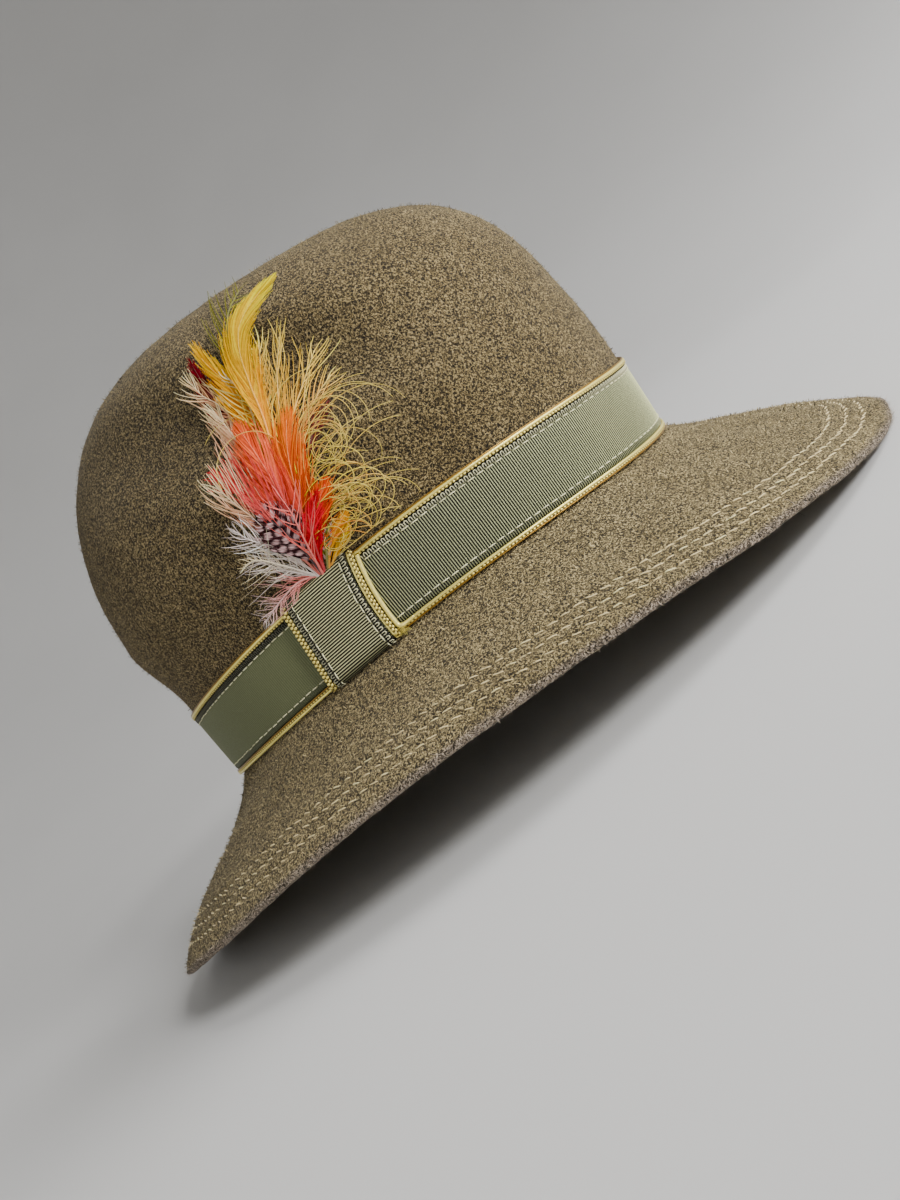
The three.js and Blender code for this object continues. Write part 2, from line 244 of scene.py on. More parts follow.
def keeper_turn(towards_back, height):
    """Turn of a line on the keeper that lies a distance towards the back of its middle. The
    front edge bows back a little halfway up."""
    lean = KEEPER_LEAN * (BAND_HEIGHT / 2 - height)
    halfway = 1 - np.minimum(1, np.abs(height / BAND_HEIGHT * 2 - 1)) ** 2
    bow = KEEPER_BOW * halfway * np.clip(0.5 - towards_back / KEEPER["width"], 0, 1)
    return KEEPER_TURN + (towards_back + lean + bow) / (FOOT_HALF_WIDTH + KEEPER["outer"])


def spray_point(ahead, up, out):
    """Point of the spray: millimetres towards the front from its middle, up the crown from the
    band's top, and out from the felt."""
    turn = SPRAY_TURN - np.asarray(ahead, float) / SPRAY_RADIUS
    share = np.clip(np.asarray(up, float) / SPRAY_HEIGHT, 1e-4, 1)
    station = 2 + np.arcsin(share ** (around(turn, CROWN_ROUNDNESS) / 2)) * 2 / math.pi
    out = np.asarray(out, float)[..., None]
    return felt_point(turn, station) + felt_normal(turn, station) * out


# Meshes

def grid_faces(rows, columns, closed_rows=False, closed_columns=True):
    """Quads of a grid of points numbered row by row, seen from the side on which the rows run
    upwards and the columns to the left."""
    row = np.arange(rows if closed_rows else rows - 1)
    column = np.arange(columns if closed_columns else columns - 1)
    row, column = np.meshgrid(row, column, indexing="ij")
    next_row = (row + 1) % rows
    next_column = (column + 1) % columns
    corners = [
        row * columns + column,
        next_row * columns + column,
        next_row * columns + next_column,
        row * columns + next_column,
    ]
    return np.stack([c.ravel() for c in corners], axis=-1)


def joined(parts):
    """Joins (points, faces, tints) parts into one such part."""
    points, faces, tints, start = [], [], [], 0
    for part_points, part_faces, part_tints in parts:
        points.append(part_points)
        faces.append(part_faces + start)
        tints.append(part_tints)
        start += len(part_points)
    return np.concatenate(points), np.concatenate(faces), np.concatenate(tints)


def strip_bundle(centres, across, widths, tints):
    """Flat strips, one for each row of centres, as one part. Centres and tints are strips by
    points by 3, across is the direction of a strip's width, and widths is strips by points."""
    count, steps = centres.shape[:2]
    half = across * (widths / 2)[..., None]
    points = np.stack([centres - half, centres + half], axis=2)
    first = (np.arange(count)[:, None] * steps + np.arange(steps - 1)).ravel() * 2
    faces = np.stack([first, first + 1, first + 3, first + 2], axis=-1)
    tints = np.broadcast_to(tints, centres.shape)
    return points.reshape(-1, 3), faces, np.repeat(tints, 2, axis=1).reshape(-1, 3)


def tube_bundle(centres, normals, radii, sides, tints, closed=False):
    """Round tubes, one for each row of centres, as one part. Normals point away from what
    the tubes lie on. Open tubes get a flat face at both ends."""
    count, steps = centres.shape[:2]
    ahead = np.gradient(centres, axis=1)
    if closed:
        ahead = np.roll(centres, -1, axis=1) - np.roll(centres, 1, axis=1)
    across = unit(np.cross(ahead, normals))
    upward = unit(np.cross(across, ahead))
    angle = (np.arange(sides) * CIRCLE / sides)[:, None]
    ring = across[:, :, None] * np.cos(angle) + upward[:, :, None] * np.sin(angle)
    points = centres[:, :, None] + ring * np.broadcast_to(radii, (count, steps))[..., None, None]
    faces = grid_faces(steps, sides, closed)
    start = np.arange(count) * steps * sides
    faces = (faces[None] + start[:, None, None]).reshape(-1, 4)
    if not closed:
        faces = np.concatenate([faces, *end_caps(start, steps, sides)])
    tints = np.broadcast_to(tints, centres.shape)
    return points.reshape(-1, 3), faces, np.repeat(tints, sides, axis=1).reshape(-1, 3)


def end_caps(start, steps, sides):
    """Faces that close the two ends of each tube with an even number of sides."""
    caps = []
    for ring_start, turn_over in ((start, False), (start + (steps - 1) * sides, True)):
        for k in range(0, sides - 2, 2):
            corners = [ring_start, ring_start + k + 1, ring_start + k + 2,
                       ring_start + (k + 3) % sides]
            caps.append(np.stack(corners[::-1] if turn_over else corners, axis=-1))
    return caps


def add_object(name, points, faces, material):
    """Smooth mesh object from points in metres."""
    mesh = bpy.data.meshes.new(name)
    mesh.from_pydata(points.tolist(), [], faces)
    mesh.polygons.foreach_set("use_smooth", np.ones(len(mesh.polygons), bool))
    mesh.materials.append(material)
    piece = bpy.data.objects.new(name, mesh)
    bpy.context.scene.collection.objects.link(piece)
    return piece


def add_piece(name, part, material, slot, *replaced):
    """Makes a mesh piece in the frame from a part in millimetres, and lets it ride."""
    points, faces, tints = part
    piece = add_object(name, to_scene(points), faces.tolist(), material)
    colours = piece.data.color_attributes.new(name="tint", type="FLOAT_COLOR", domain="POINT")
    rgba = np.ones((len(points), 4), np.float32)
    rgba[:, :3] = np.minimum(tints, 1)
    colours.data.foreach_set("color", rgba.ravel())
    piece.data.update()
    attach(piece, "root")
    if replaced:
        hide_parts(*replaced)
    return piece


# Materials

WHITE_LIGHT = (1, 1, 1)
SHEEN_ROUGHNESS = 0.5

# Mottled wool: the grain's stops from its pits to its fibres, and two slower changes of tone
FELT_SHEEN = (0.85, 0.75, 0.58)
FELT_NOISES = {"grain": (1650, 3, 0.62, 0.7), "specks": (3600, 1, 0.5), "patches": (45, 3, 0.55)}
FELT_STOPS = {
    "grain": [(0.41, (0.012, 0.01, 0.008)), (0.48, (0.12, 0.11, 0.095)),
              (0.535, (0.36, 0.34, 0.3)), (0.59, WHITE_LIGHT)],
    "specks": [(0.35, (0.5, 0.48, 0.44)), (0.62, WHITE_LIGHT)],
    "patches": [(0.3, (0.78, 0.76, 0.7)), (0.7, WHITE_LIGHT)],
}
FELT_DEPTHS = {"grain": 0.0009, "specks": 0.0002}

# Materials coloured by the points of the mesh. The grain is so many to a metre and so deep in
# metres, and low is its darkest share of the colour.
TINTED_COLUMNS = ("roughness", "sheen", "metallic", "gloss", "grain", "depth", "low")
TINTED = {
    "felt_nap": (0.9, 0.1, 0, 0.2, 1500, 0.0001, 0.8),
    "ribbon": (0.5, 0.05, 0, 0.2, 2400, 0.00008, 0.8),
    "thread": (0.5, 0.2, 0, 0.3, 4000, 0.00005, 0.8),
    "gold_cord": (0.3, 0, 0.5, 0.6, 3000, 0.00004, 0.95),
    "feather": (0.7, 0, 0, 0.08, 900, 0.00003, 0.85),
}


def rgb(red, green, blue):
    """Linear colour from display values of 0 to 255."""
    value = np.array([red, green, blue]) / 255
    return np.where(value <= 0.04045, value / 12.92, ((value + 0.055) / 1.055) ** 2.4)


def new_material(name, roughness, sheen=0.0, sheen_tint=WHITE_LIGHT, metallic=0.0, gloss=0.25):
    material = bpy.data.materials.new(name)
    material.use_nodes = True
    shader = material.node_tree.nodes["Principled BSDF"]
    shader.inputs["Roughness"].default_value = roughness
    shader.inputs["Metallic"].default_value = metallic
    shader.inputs["Sheen Weight"].default_value = sheen
    shader.inputs["Sheen Roughness"].default_value = SHEEN_ROUGHNESS
    shader.inputs["Sheen Tint"].default_value = (*sheen_tint, 1)
    shader.inputs["Specular IOR Level"].default_value = gloss
    return material, material.node_tree, shader


def add_noise(tree, scale, detail=2.0, roughness=0.5, distortion=0.0):
    """Noise in the object's own coordinates, so many to a metre."""
    coordinates = tree.nodes.new("ShaderNodeTexCoord").outputs["Object"]
    noise = tree.nodes.new("ShaderNodeTexNoise")
    noise.inputs["Scale"].default_value = scale
    noise.inputs["Detail"].default_value = detail
    noise.inputs["Roughness"].default_value = roughness
    noise.inputs["Distortion"].default_value = distortion
    tree.links.new(coordinates, noise.inputs["Vector"])
    return noise.outputs["Fac"]


def add_ramp(tree, factor, stops):
    """Colour ramp with stops of (position, colour)."""
    ramp = tree.nodes.new("ShaderNodeValToRGB")
    elements = ramp.color_ramp.elements
    while len(elements) < len(stops):
        elements.new(0.5)
    for element, (position, colour) in zip(elements, stops):
        element.position = position
        element.color = (*colour, 1)
    tree.links.new(factor, ramp.inputs["Fac"])
    return ramp.outputs["Color"]


def add_product(tree, first, second):
    """One colour multiplied by another."""
    mix = tree.nodes.new("ShaderNodeMix")
    mix.data_type = "RGBA"
    mix.blend_type = "MULTIPLY"
    sockets = {s.identifier: s for s in mix.inputs}
    sockets["Factor_Float"].default_value = 1
    tree.links.new(first, sockets["A_Color"])
    tree.links.new(second, sockets["B_Color"])
    return next(s for s in mix.outputs if s.identifier == "Result_Color")


def add_tint(tree):
    attribute = tree.nodes.new("ShaderNodeAttribute")
    attribute.attribute_name = "tint"
    return attribute.outputs["Color"]


def add_bump(tree, shader, layers):
    """Bumps stacked from layers of (height socket, distance in metres)."""
    normal = None
    for height, distance in layers:
        bump = tree.nodes.new("ShaderNodeBump")
        bump.inputs["Strength"].default_value = 1
        bump.inputs["Distance"].default_value = distance
        tree.links.new(height, bump.inputs["Height"])
        if normal:
            tree.links.new(normal, bump.inputs["Normal"])
        normal = bump.outputs["Normal"]
    tree.links.new(normal, shader.inputs["Normal"])


def felt_material():
    material, tree, shader = new_material("felt", 0.95, 0.15, FELT_SHEEN)
    noises = {name: add_noise(tree, *sizes) for name, sizes in FELT_NOISES.items()}
    colours = [add_ramp(tree, noises[name], stops) for name, stops in FELT_STOPS.items()]
    colour = colours[0]
    for other in (*colours[1:], add_tint(tree)):
        colour = add_product(tree, colour, other)
    tree.links.new(colour, shader.inputs["Base Color"])
    add_bump(tree, shader, [(noises[name], depth) for name, depth in FELT_DEPTHS.items()])
    return material


def tinted_material(name, roughness, sheen, metallic, gloss, grain, depth, low):
    material, tree, shader = new_material(name, roughness, sheen, WHITE_LIGHT, metallic, gloss)
    fine = add_noise(tree, grain, 2, 0.6)
    shade = add_ramp(tree, fine, [(0.3, (low, low, low)), (0.7, WHITE_LIGHT)])
    tree.links.new(add_product(tree, add_tint(tree), shade), shader.inputs["Base Color"])
    add_bump(tree, shader, [(fine, depth)])
    return material


FELT_CLOTH = felt_material()
NAP, RIBBON_CLOTH, THREAD, GOLD, PLUMAGE = (
    tinted_material(name, **dict(zip(TINTED_COLUMNS, row))) for name, row in TINTED.items()
)


# Camera, floor and lights

CAMERA = {"place": (-0.3846, -0.11915, 0.0875), "azimuth": 17.48, "elevation": 6.55,
          "roll": 41.84, "focal_pixels": 1086.56, "image_height": 1200, "sensor": 36,
          "nearest": 0.01}
FLOOR = {"middle": 0.001, "radius": 0.5, "spread": 1.9, "rise": 2.2, "turns": 96, "rows": 40,
         "roughness": 0.85, "mottle": 3}
FLOOR_TONES = {"dark": rgb(212, 211, 209), "light": rgb(217, 216, 214)}
LIGHTS = [
    {"name": "key", "place": (-0.6, -1.1, 0.72), "size": 0.45, "power": 18, "spread": 180},
    {"name": "front", "place": (0.0, -1.35, 0.4), "size": 0.8, "power": 10, "spread": 180},
    {"name": "fill", "place": (-0.8, 0.95, 0.5), "size": 0.9, "power": 1.5, "spread": 130},
    {"name": "top", "place": (0.3, -0.8, 0.95), "size": 0.7, "power": 10, "spread": 180},
]
LIGHT_AIM = (0, 0, 0.09)
WORLD = {"colour": (1, 0.99, 0.97, 1), "strength": 0.2}


def add_camera():
    """Camera that stands where the photograph was taken from, rolled as it was."""
    azimuth, elevation, roll = (math.radians(CAMERA[k]) for k in ("azimuth", "elevation", "roll"))
    look = Vector((math.cos(azimuth) * math.cos(elevation),
                   math.sin(azimuth) * math.cos(elevation), -math.sin(elevation)))
    right = look.cross(Vector((0, 0, 1))).normalized()
    upward = right.cross(look)
    across = math.cos(roll) * right - math.sin(roll) * upward
    above = math.sin(roll) * right + math.cos(roll) * upward
    lens = bpy.data.cameras.new("camera")
    lens.sensor_fit = "AUTO"
    lens.sensor_width = CAMERA["sensor"]
    lens.lens = CAMERA["focal_pixels"] / CAMERA["image_height"] * CAMERA["sensor"]
    lens.clip_start = CAMERA["nearest"]
    camera = bpy.data.objects.new("camera", lens)
    camera.matrix_world = Matrix.Translation(CAMERA["place"]) @ Matrix(
        (across, above, -look)).transposed().to_4x4()
    bpy.context.scene.collection.objects.link(camera)
    bpy.context.scene.camera = camera


def add_floor():
    """Pale floor that curves up all round into a wall, so that no horizon shows."""
    bend = np.linspace(0, math.pi / 2, FLOOR["rows"])
    radius = np.concatenate([[FLOOR["middle"]], FLOOR["radius"] + FLOOR["spread"] * np.sin(bend)])
    height = np.concatenate([[0], FLOOR["rise"] * (1 - np.cos(bend))])
    turn = np.arange(FLOOR["turns"]) * CIRCLE / FLOOR["turns"]
    points = np.stack([radius[:, None] * np.cos(turn), radius[:, None] * np.sin(turn),
                       height[:, None] + 0 * turn], axis=-1)
    faces = grid_faces(len(radius), FLOOR["turns"]).tolist()
    faces.append(list(range(FLOOR["turns"])))
    material, tree, shader = new_material("floor", FLOOR["roughness"])
    stops = [(0.3, FLOOR_TONES["dark"]), (0.7, FLOOR_TONES["light"])]
    colour = add_ramp(tree, add_noise(tree, FLOOR["mottle"]), stops)
    tree.links.new(colour, shader.inputs["Base Color"])
    add_object("floor", points.reshape(-1, 3), faces, material)


def add_lights():
    for row in LIGHTS:
        lamp = bpy.data.lights.new(row["name"], "AREA")
        lamp.shape = "DISK"
        lamp.size = row["size"]
        lamp.energy = row["power"]
        lamp.spread = math.radians(row["spread"])
        light = bpy.data.objects.new(row["name"], lamp)
        light.location = row["place"]
        light.visible_camera = False
        aim = Vector(LIGHT_AIM) - light.location
        light.rotation_euler = aim.to_track_quat("-Z", "Y").to_euler()
        bpy.context.scene.collection.objects.link(light)
    world = bpy.data.worlds.new("studio")
    world.use_nodes = True
    background = world.node_tree.nodes["Background"]
    background.inputs["Color"].default_value = WORLD["colour"]
    background.inputs["Strength"].default_value = WORLD["strength"]
    bpy.context.scene.world = world


add_camera()
add_floor()
add_lights()


# Felt

FELT_TURNS = 360
EDGE_DISTANCES = [0, 0.4, 1, 2, 3.2, 4.5, 5.5, 6.1, 6.7, 7.3, 8.1, 9.1, 10.2, 11, 11.8, 13, 14.2,
                  15.4, 16.6, 18]
BRIM_ROWS = 16
WALL_ROWS = 5
CROWN_ROWS = 76
CROWN_ROW_SPREAD = 1.2
LINING_ROWS = 44
LINING_ROW_SPREAD = 0.8
EDGE = {"raggedness": 0.22, "raggedness_size": 9, "rounding": 0.35, "half_width": 2.5,
        "tone_from": 0.2, "tone_to": 1.8}
UNDULATION = {"height": 0.45, "size": 46}

WOOL_TONES = {"crown": rgb(196, 174, 124), "brim": rgb(226, 205, 150),
              "edge": rgb(218, 200, 180)}
# Painted shade in the side dents: how much it darkens the felt, and how far it spreads and is
# shifted
DENT_PAINTED_SHADE = {"shade": 0.3, "spread": 1.5, "shift": 0.35}

STITCH_ROWS = [6.7, 11.0, 15.4]
STITCH = {"length": 3.6, "lengths": (0.82, 1.12), "period": 4.3, "radius": 0.22, "slant": 0.4,
          "slants": (0.4, 1.6), "height": 0.9, "sink": 0.44, "waver": 0.12}
STITCH_RADII = np.array([0.3, 0.85, 1, 1, 1, 0.85, 0.3])
STITCH_TONE = rgb(250, 228, 170)
STITCH_SHADES = (0.85, 1.15)
GROOVE = {"depth": 0.4, "half_width": 0.8, "uneven": 0.5, "uneven_size": 5}

# Wool fibres, with ranges of length, width and lift off the felt in millimetres and of tone,
# then how many points they have and how much they curl in radians
FIBRE_COLUMNS = ("length", "width", "lift", "tones", "steps", "curl")
FIBRES = {
    "crown": ((0.7, 2.0), (0.12, 0.26), (0.1, 1.3), (0.02, 1.0), 3, 1.2),
    "brim": ((0.7, 2.0), (0.12, 0.28), (0.1, 1.3), (0.02, 1.0), 3, 1.2),
    "edge": ((0.8, 2.6), (0.08, 0.18), (-1.2, 0.4), (0.3, 1.0), 3, 1.2),
    "hair": ((3, 8), (0.06, 0.1), (0.6, 2.6), (0.02, 1.0), 8, 2.0),
}
FIBRE_ROOT = 0.15
FIBRE_CLEARANCE = 0.1
FIBRE_ARCH = 0.65 * math.pi
FIBRE_TIP_WIDTH = 0.35
FLOOR_CLEARANCE = 0.08
NAP_STATIONS = {"crown": (2.0, 2.97), "brim": (0.01, 0.99)}
HAIR_STATIONS = ((2.05, 2.95), (0.02, 0.95))
FIBRE_COUNTS = {"crown": 34000, "brim": 36000, "edge": 9000, "hair": 220, "edge_hair": 160}
EDGE_FUZZ = {"reach": 0.9, "hair_reach": 1.5, "outward": 1.3, "downward": 1.2}
SEEDS = {"crown": 11, "brim": 12, "edge": 13, "hair": 14, "stitches": 15}


def waves(points, size, seed, octaves=4):
    """Smooth irregular values from about -1 to 1 over points in millimetres."""
    rng = np.random.default_rng(seed)
    total = np.zeros(points.shape[:-1])
    for octave in range(octaves):
        directions = unit(rng.normal(size=(6, 3)))
        frequency = CIRCLE / size * 1.7 ** octave
        phases = rng.uniform(0, CIRCLE, 6)
        field = np.sin(points @ directions.T * frequency + phases).sum(axis=-1) / 6
        total = total + field * 1.4 * 0.6 ** octave
    return total


def brim_station(turn, distance):
    """Station of the brim at a distance in from its edge."""
    return distance / brim_reach(turn)


def level_outward(point):
    return unit(point * (1, 1, 0))


def felt_surface(turn, station):
    """Outside of the felt with its soft unevenness, its stitch grooves and its rough edge."""
    point = felt_point(turn, station)
    distance = station * brim_reach(turn)
    on_brim = station < 1
    groove = sum(bump_at(distance - row, GROOVE["half_width"]) for row in STITCH_ROWS) * on_brim
    depth = GROOVE["depth"] * (1 + GROOVE["uneven"] * waves(point, GROOVE["uneven_size"], 5))
    clear_of_band = np.clip(np.abs(station - 1.5) * 4 - 2, 0, 1)
    soft = UNDULATION["height"] * waves(point, UNDULATION["size"], 3) * clear_of_band
    ragged = EDGE["raggedness"] * waves(point, EDGE["raggedness_size"], 4) * np.where(
        on_brim, bump_at(distance, EDGE["half_width"]), 0)
    lifted = point + felt_normal(turn, station) * (soft - depth * groove)[..., None]
    return lifted + level_outward(point) * ragged[..., None]


def felt_tint(turn, station):
    """Tone of the wool: greyer on the crown, warmer on the brim, pinkish along the cut edge."""
    distance = np.where(station < 1, station * brim_reach(turn), EDGE["tone_to"])
    cut = (1 - smoothstep(distance, EDGE["tone_from"], EDGE["tone_to"]))[..., None]
    crown = smoothstep(station, 0.8, 2)[..., None]
    tint = blend(WOOL_TONES["brim"], WOOL_TONES["crown"], crown)
    # Painted shade: the felt is darkened in the side dents, where they face away from the light
    tint = tint * (1 - DENT_PAINTED_SHADE["shade"] * painted_dent_shade_share(felt_point(turn, station)))[..., None]
    return blend(tint, WOOL_TONES["edge"], cut)


def painted_dent_shade_share(point):
    """1 in the middle of the side dents, where shade is painted into the felt's colour."""
    along, across = side_dent_place(point[..., 1], point[..., 2])
    return dent_share(along - DENT_PAINTED_SHADE["shift"], across / DENT_PAINTED_SHADE["spread"])


def felt_stations(turn):
    """Stations of the outside's rows at one column of turns."""
    edge = brim_station(turn, np.array(EDGE_DISTANCES)[:, None])
    brim_share = np.linspace(0, 1, BRIM_ROWS + 1)[1:-1, None]
    brim = blend(edge[-1], 1, brim_share)
    wall = 1 + np.arange(WALL_ROWS) / WALL_ROWS
    crown = 2 + (np.arange(CROWN_ROWS + 1) / CROWN_ROWS) ** CROWN_ROW_SPREAD
    level = np.concatenate([wall, crown])[:, None] + 0 * turn
    return np.concatenate([edge, brim, level])


def felt_shell():
    turn = np.arange(FELT_TURNS) * CIRCLE / FELT_TURNS
    stations = felt_stations(turn)
    outside = felt_surface(turn + 0 * stations, stations)
    inner_share = np.linspace(0, 1, LINING_ROWS)[:, None]
    inner_stations = 3 * inner_share ** LINING_ROW_SPREAD + 0 * turn
    inner_turns = turn + 0 * inner_stations
    normal = felt_normal(inner_turns, inner_stations)
    normal[inner_stations >= 3] = (0, 0, 1)
    inside = felt_surface(inner_turns, inner_stations) - normal * FELT
    for side in (inside, outside):
        side[..., 2] = np.maximum(0, side[..., 2])
    middle = (outside[0] + inside[0]) / 2 + level_outward(outside[0]) * EDGE["rounding"]
    points = np.concatenate([inside[::-1], middle[None], outside])
    for pole in (0, -1):
        points[pole] = points[pole].mean(axis=0)
    tints = np.concatenate([
        felt_tint(inner_turns, inner_stations)[::-1],
        felt_tint(turn, 0 * turn)[None],
        felt_tint(turn + 0 * stations, stations),
    ])
    return points.reshape(-1, 3), grid_faces(len(points), FELT_TURNS), tints.reshape(-1, 3)


def weld(piece, distance=1e-7):
    """Joins the points that lie on each other at the poles of a piece."""
    mesh = bmesh.new()
    mesh.from_mesh(piece.data)
    bmesh.ops.remove_doubles(mesh, verts=mesh.verts, dist=distance)
    mesh.to_mesh(piece.data)
    mesh.free()


def middles(low, high, count):
    """Middles of equal cells over a range, and half a cell."""
    edges = np.linspace(low, high, count + 1)
    return (edges[1:] + edges[:-1]) / 2, (edges[1] - edges[0]) / 2


def sample_felt(count, low, high, rng):
    """Turns and stations spread evenly by area over a range of stations."""
    turn, half_turn = middles(0, CIRCLE, 120)
    station, half_station = middles(low, high, 100)
    turns, stations = np.meshgrid(turn, station, indexing="ij")
    along = felt_point(turns + half_turn, stations) - felt_point(turns - half_turn, stations)
    upward = felt_point(turns, stations + half_station) - felt_point(turns, stations - half_station)
    area = np.linalg.norm(np.cross(along, upward), axis=-1).ravel()
    cell = rng.choice(len(area), count, p=area / area.sum())
    jitter = rng.uniform(-1, 1, (2, count))
    return (turns.ravel()[cell] + jitter[0] * half_turn,
            stations.ravel()[cell] + jitter[1] * half_station)


def fibres(kind, turn, station, rng, lay=None):
    """Short curved wool fibres rooted on the felt."""
    row = dict(zip(FIBRE_COLUMNS, FIBRES[kind]))
    count, steps = len(turn), row["steps"]
    normal = felt_normal(turn, station)
    root = felt_surface(turn, station) - normal * FIBRE_ROOT
    level = unit(np.cross(normal, unit(rng.normal(size=(count, 3)))))
    if lay is not None:
        level = unit(level + lay)
    side = np.cross(normal, level)
    length = rng.uniform(*row["length"], count)[:, None, None]
    share = np.linspace(0, 1, steps)
    angle = (rng.normal(0, row["curl"], count)[:, None] * share)[..., None]
    heading = level[:, None] * np.cos(angle) + side[:, None] * np.sin(angle)
    step = np.diff(share, prepend=0)[None, :, None]
    path = root[:, None] + np.cumsum(heading * step, axis=1) * length
    height = blend(*row["lift"], rng.random(count) ** 4)[:, None]
    rise = height * np.sin(share * FIBRE_ARCH) + FIBRE_CLEARANCE
    path = path + normal[:, None] * rise[..., None]
    path[..., 2] = np.maximum(path[..., 2], FLOOR_CLEARANCE)
    across = unit(np.cross(heading, normal[:, None]))
    taper = np.linspace(1, FIBRE_TIP_WIDTH, steps)
    widths = rng.uniform(*row["width"], count)[:, None] * taper
    tone = blend(*row["tones"], rng.beta(0.5, 0.6, count))[:, None]
    tints = (felt_tint(turn, station) * tone)[:, None]
    return strip_bundle(path, across, widths, tints)


def nap(kind):
    """Fibres that lie all over one part of the hat."""
    rng = np.random.default_rng(SEEDS[kind])
    turn, station = sample_felt(FIBRE_COUNTS[kind], *NAP_STATIONS[kind], rng)
    return fibres(kind, turn, station, rng)


def sample_edge(count, reach, rng):
    """Turns and stations scattered along the brim's cut edge, up to a reach in from it."""
    turn = rng.uniform(0, CIRCLE, count)
    return turn, brim_station(turn, rng.uniform(0, reach, count))


def edge_fuzz():
    """Fibres that stand out of the brim's cut edge."""
    rng = np.random.default_rng(SEEDS["edge"])
    count = FIBRE_COUNTS["edge"]
    turn, station = sample_edge(count, EDGE_FUZZ["reach"], rng)
    outward = level_outward(felt_point(turn, station)) * EDGE_FUZZ["outward"]
    downward = np.array([0, 0, -1]) * rng.uniform(0, EDGE_FUZZ["downward"], (count, 1))
    return fibres("edge", turn, station, rng, outward + downward)


def loose_hairs():
    """Long fine hairs that stand away from the felt here and there."""
    rng = np.random.default_rng(SEEDS["hair"])
    places = [sample_felt(FIBRE_COUNTS["hair"], low, high, rng) for low, high in HAIR_STATIONS]
    places.append(sample_edge(FIBRE_COUNTS["edge_hair"], EDGE_FUZZ["hair_reach"], rng))
    return fibres("hair", *np.concatenate(places, axis=1), rng)


def stitch_row(row, rng):
    """One row of hand stitches round the brim, each stitch a little aslant."""
    def line_at(turn):
        return felt_point(turn, brim_station(turn, row))

    turns = turns_along(line_at, period=STITCH["period"])
    count, step = len(turns), 0.005
    share = np.linspace(-1, 1, len(STITCH_RADII))
    speed = np.linalg.norm(line_at(turns + step) - line_at(turns - step), axis=-1) / (2 * step)
    half_length = STITCH["length"] / 2 * rng.uniform(*STITCH["lengths"], count) / speed
    turn = turns[:, None] + half_length[:, None] * share
    slant = STITCH["slant"] * rng.uniform(*STITCH["slants"], count)[:, None] * share
    distance = row + slant + rng.normal(0, STITCH["waver"], count)[:, None]
    station = brim_station(turn, distance)
    arch = STITCH["radius"] * STITCH["height"] - STITCH["sink"] * share ** 4
    normal = felt_normal(turn, station)
    centre = felt_surface(turn, station) + normal * arch[:, None]
    tone = rng.uniform(*STITCH_SHADES, count)[:, None, None] * STITCH_TONE
    return tube_bundle(centre, normal, STITCH["radius"] * STITCH_RADII, 6, tone)


def brim_stitches():
    rng = np.random.default_rng(SEEDS["stitches"])
    return joined([stitch_row(row, rng) for row in STITCH_ROWS])


weld(add_piece("felt", felt_shell(), FELT_CLOTH, "felt", "felt_body"))
add_piece("felt_nap_crown", nap("crown"), NAP, "felt")
add_piece("felt_nap_brim", nap("brim"), NAP, "felt")
add_piece("felt_edge_fuzz", edge_fuzz(), NAP, "felt")
add_piece("felt_loose_hairs", loose_hairs(), NAP, "felt")
add_piece("brim_stitches", brim_stitches(), THREAD, "felt")


# Ribbon band, keeper and cords

RIB_PITCH = 0.83
RIB_DEPTH = 0.26
RIB_STEPS = 4
RIB_FADE = 0.35
RIB_SHARPNESS = 5
# Painted shade on the ribbon, deepest at the keeper: how much, and the turns over which it comes on
RIB_PAINTED_SHADE = {"most": 0.3, "from": 0.4, "to": 1.4}
SATIN = {"edge": 0.02, "fade_from": 4.6, "fade_to": 5.6, "ribs": 0.15}
SELVEDGE = 2.05
SELVEDGE_STEP = 0.2
# How dark the edges are made: painted shade at the top and on the keeper, a duller cloth at the
# foot
SELVEDGE_TONE_AND_SHADE = {"top": 0.93, "bottom": 0.45, "keeper": 0.93}
BAND_REACH = 0.3
BAND_EDGES = (RIBBON["low"] - BAND_REACH, RIBBON["high"] + BAND_REACH)
# Rows of points across the band's cloth, by their distance from its edge
BAND_ROWS = np.array([0, 0.25, 0.8, 1.5, SELVEDGE - SELVEDGE_STEP, SELVEDGE + SELVEDGE_STEP,
                      SELVEDGE + 1.5, 8])
BAND_SOFTNESS = {"height": 0.1, "size": 60, "seed": 21}
ROLL = {"depth": 0.35, "half_width": 0.35}
PULL = {"depth": 0.12, "half_width": 0.45}
LOOP = {"near": 0.3, "far": 1.75, "radius": 0.18, "points": 9, "height": 0.14, "sink": 0.25}
# Tones of the loops; those behind the keeper and on the keeper's back edge are darkened as painted
# shade
LOOP_TONES_AND_SHADE = {"ribbed": 0.8, "satin": 0.1, "keeper_front": 0.8, "keeper_back": 0.35}
DASH = {"length": 2.6, "period": 3.4, "radius": 0.2, "points": 6, "height": 0.2, "sink": 0.35,
        "waver": 0.06, "keeper_waver": 0.05}
DASH_RADII = np.array([0.4, 1, 1, 1, 1, 0.4])
DASH_SHADES = (0.8, 1.1)

KEEPER_BEND = 2.6
KEEPER_REACH = 1.2
KEEPER_COLUMNS = 28
KEEPER_CLOTH = 0.75
KEEPER_ROLL = {"depth": 0.4, "half_width": 0.4}
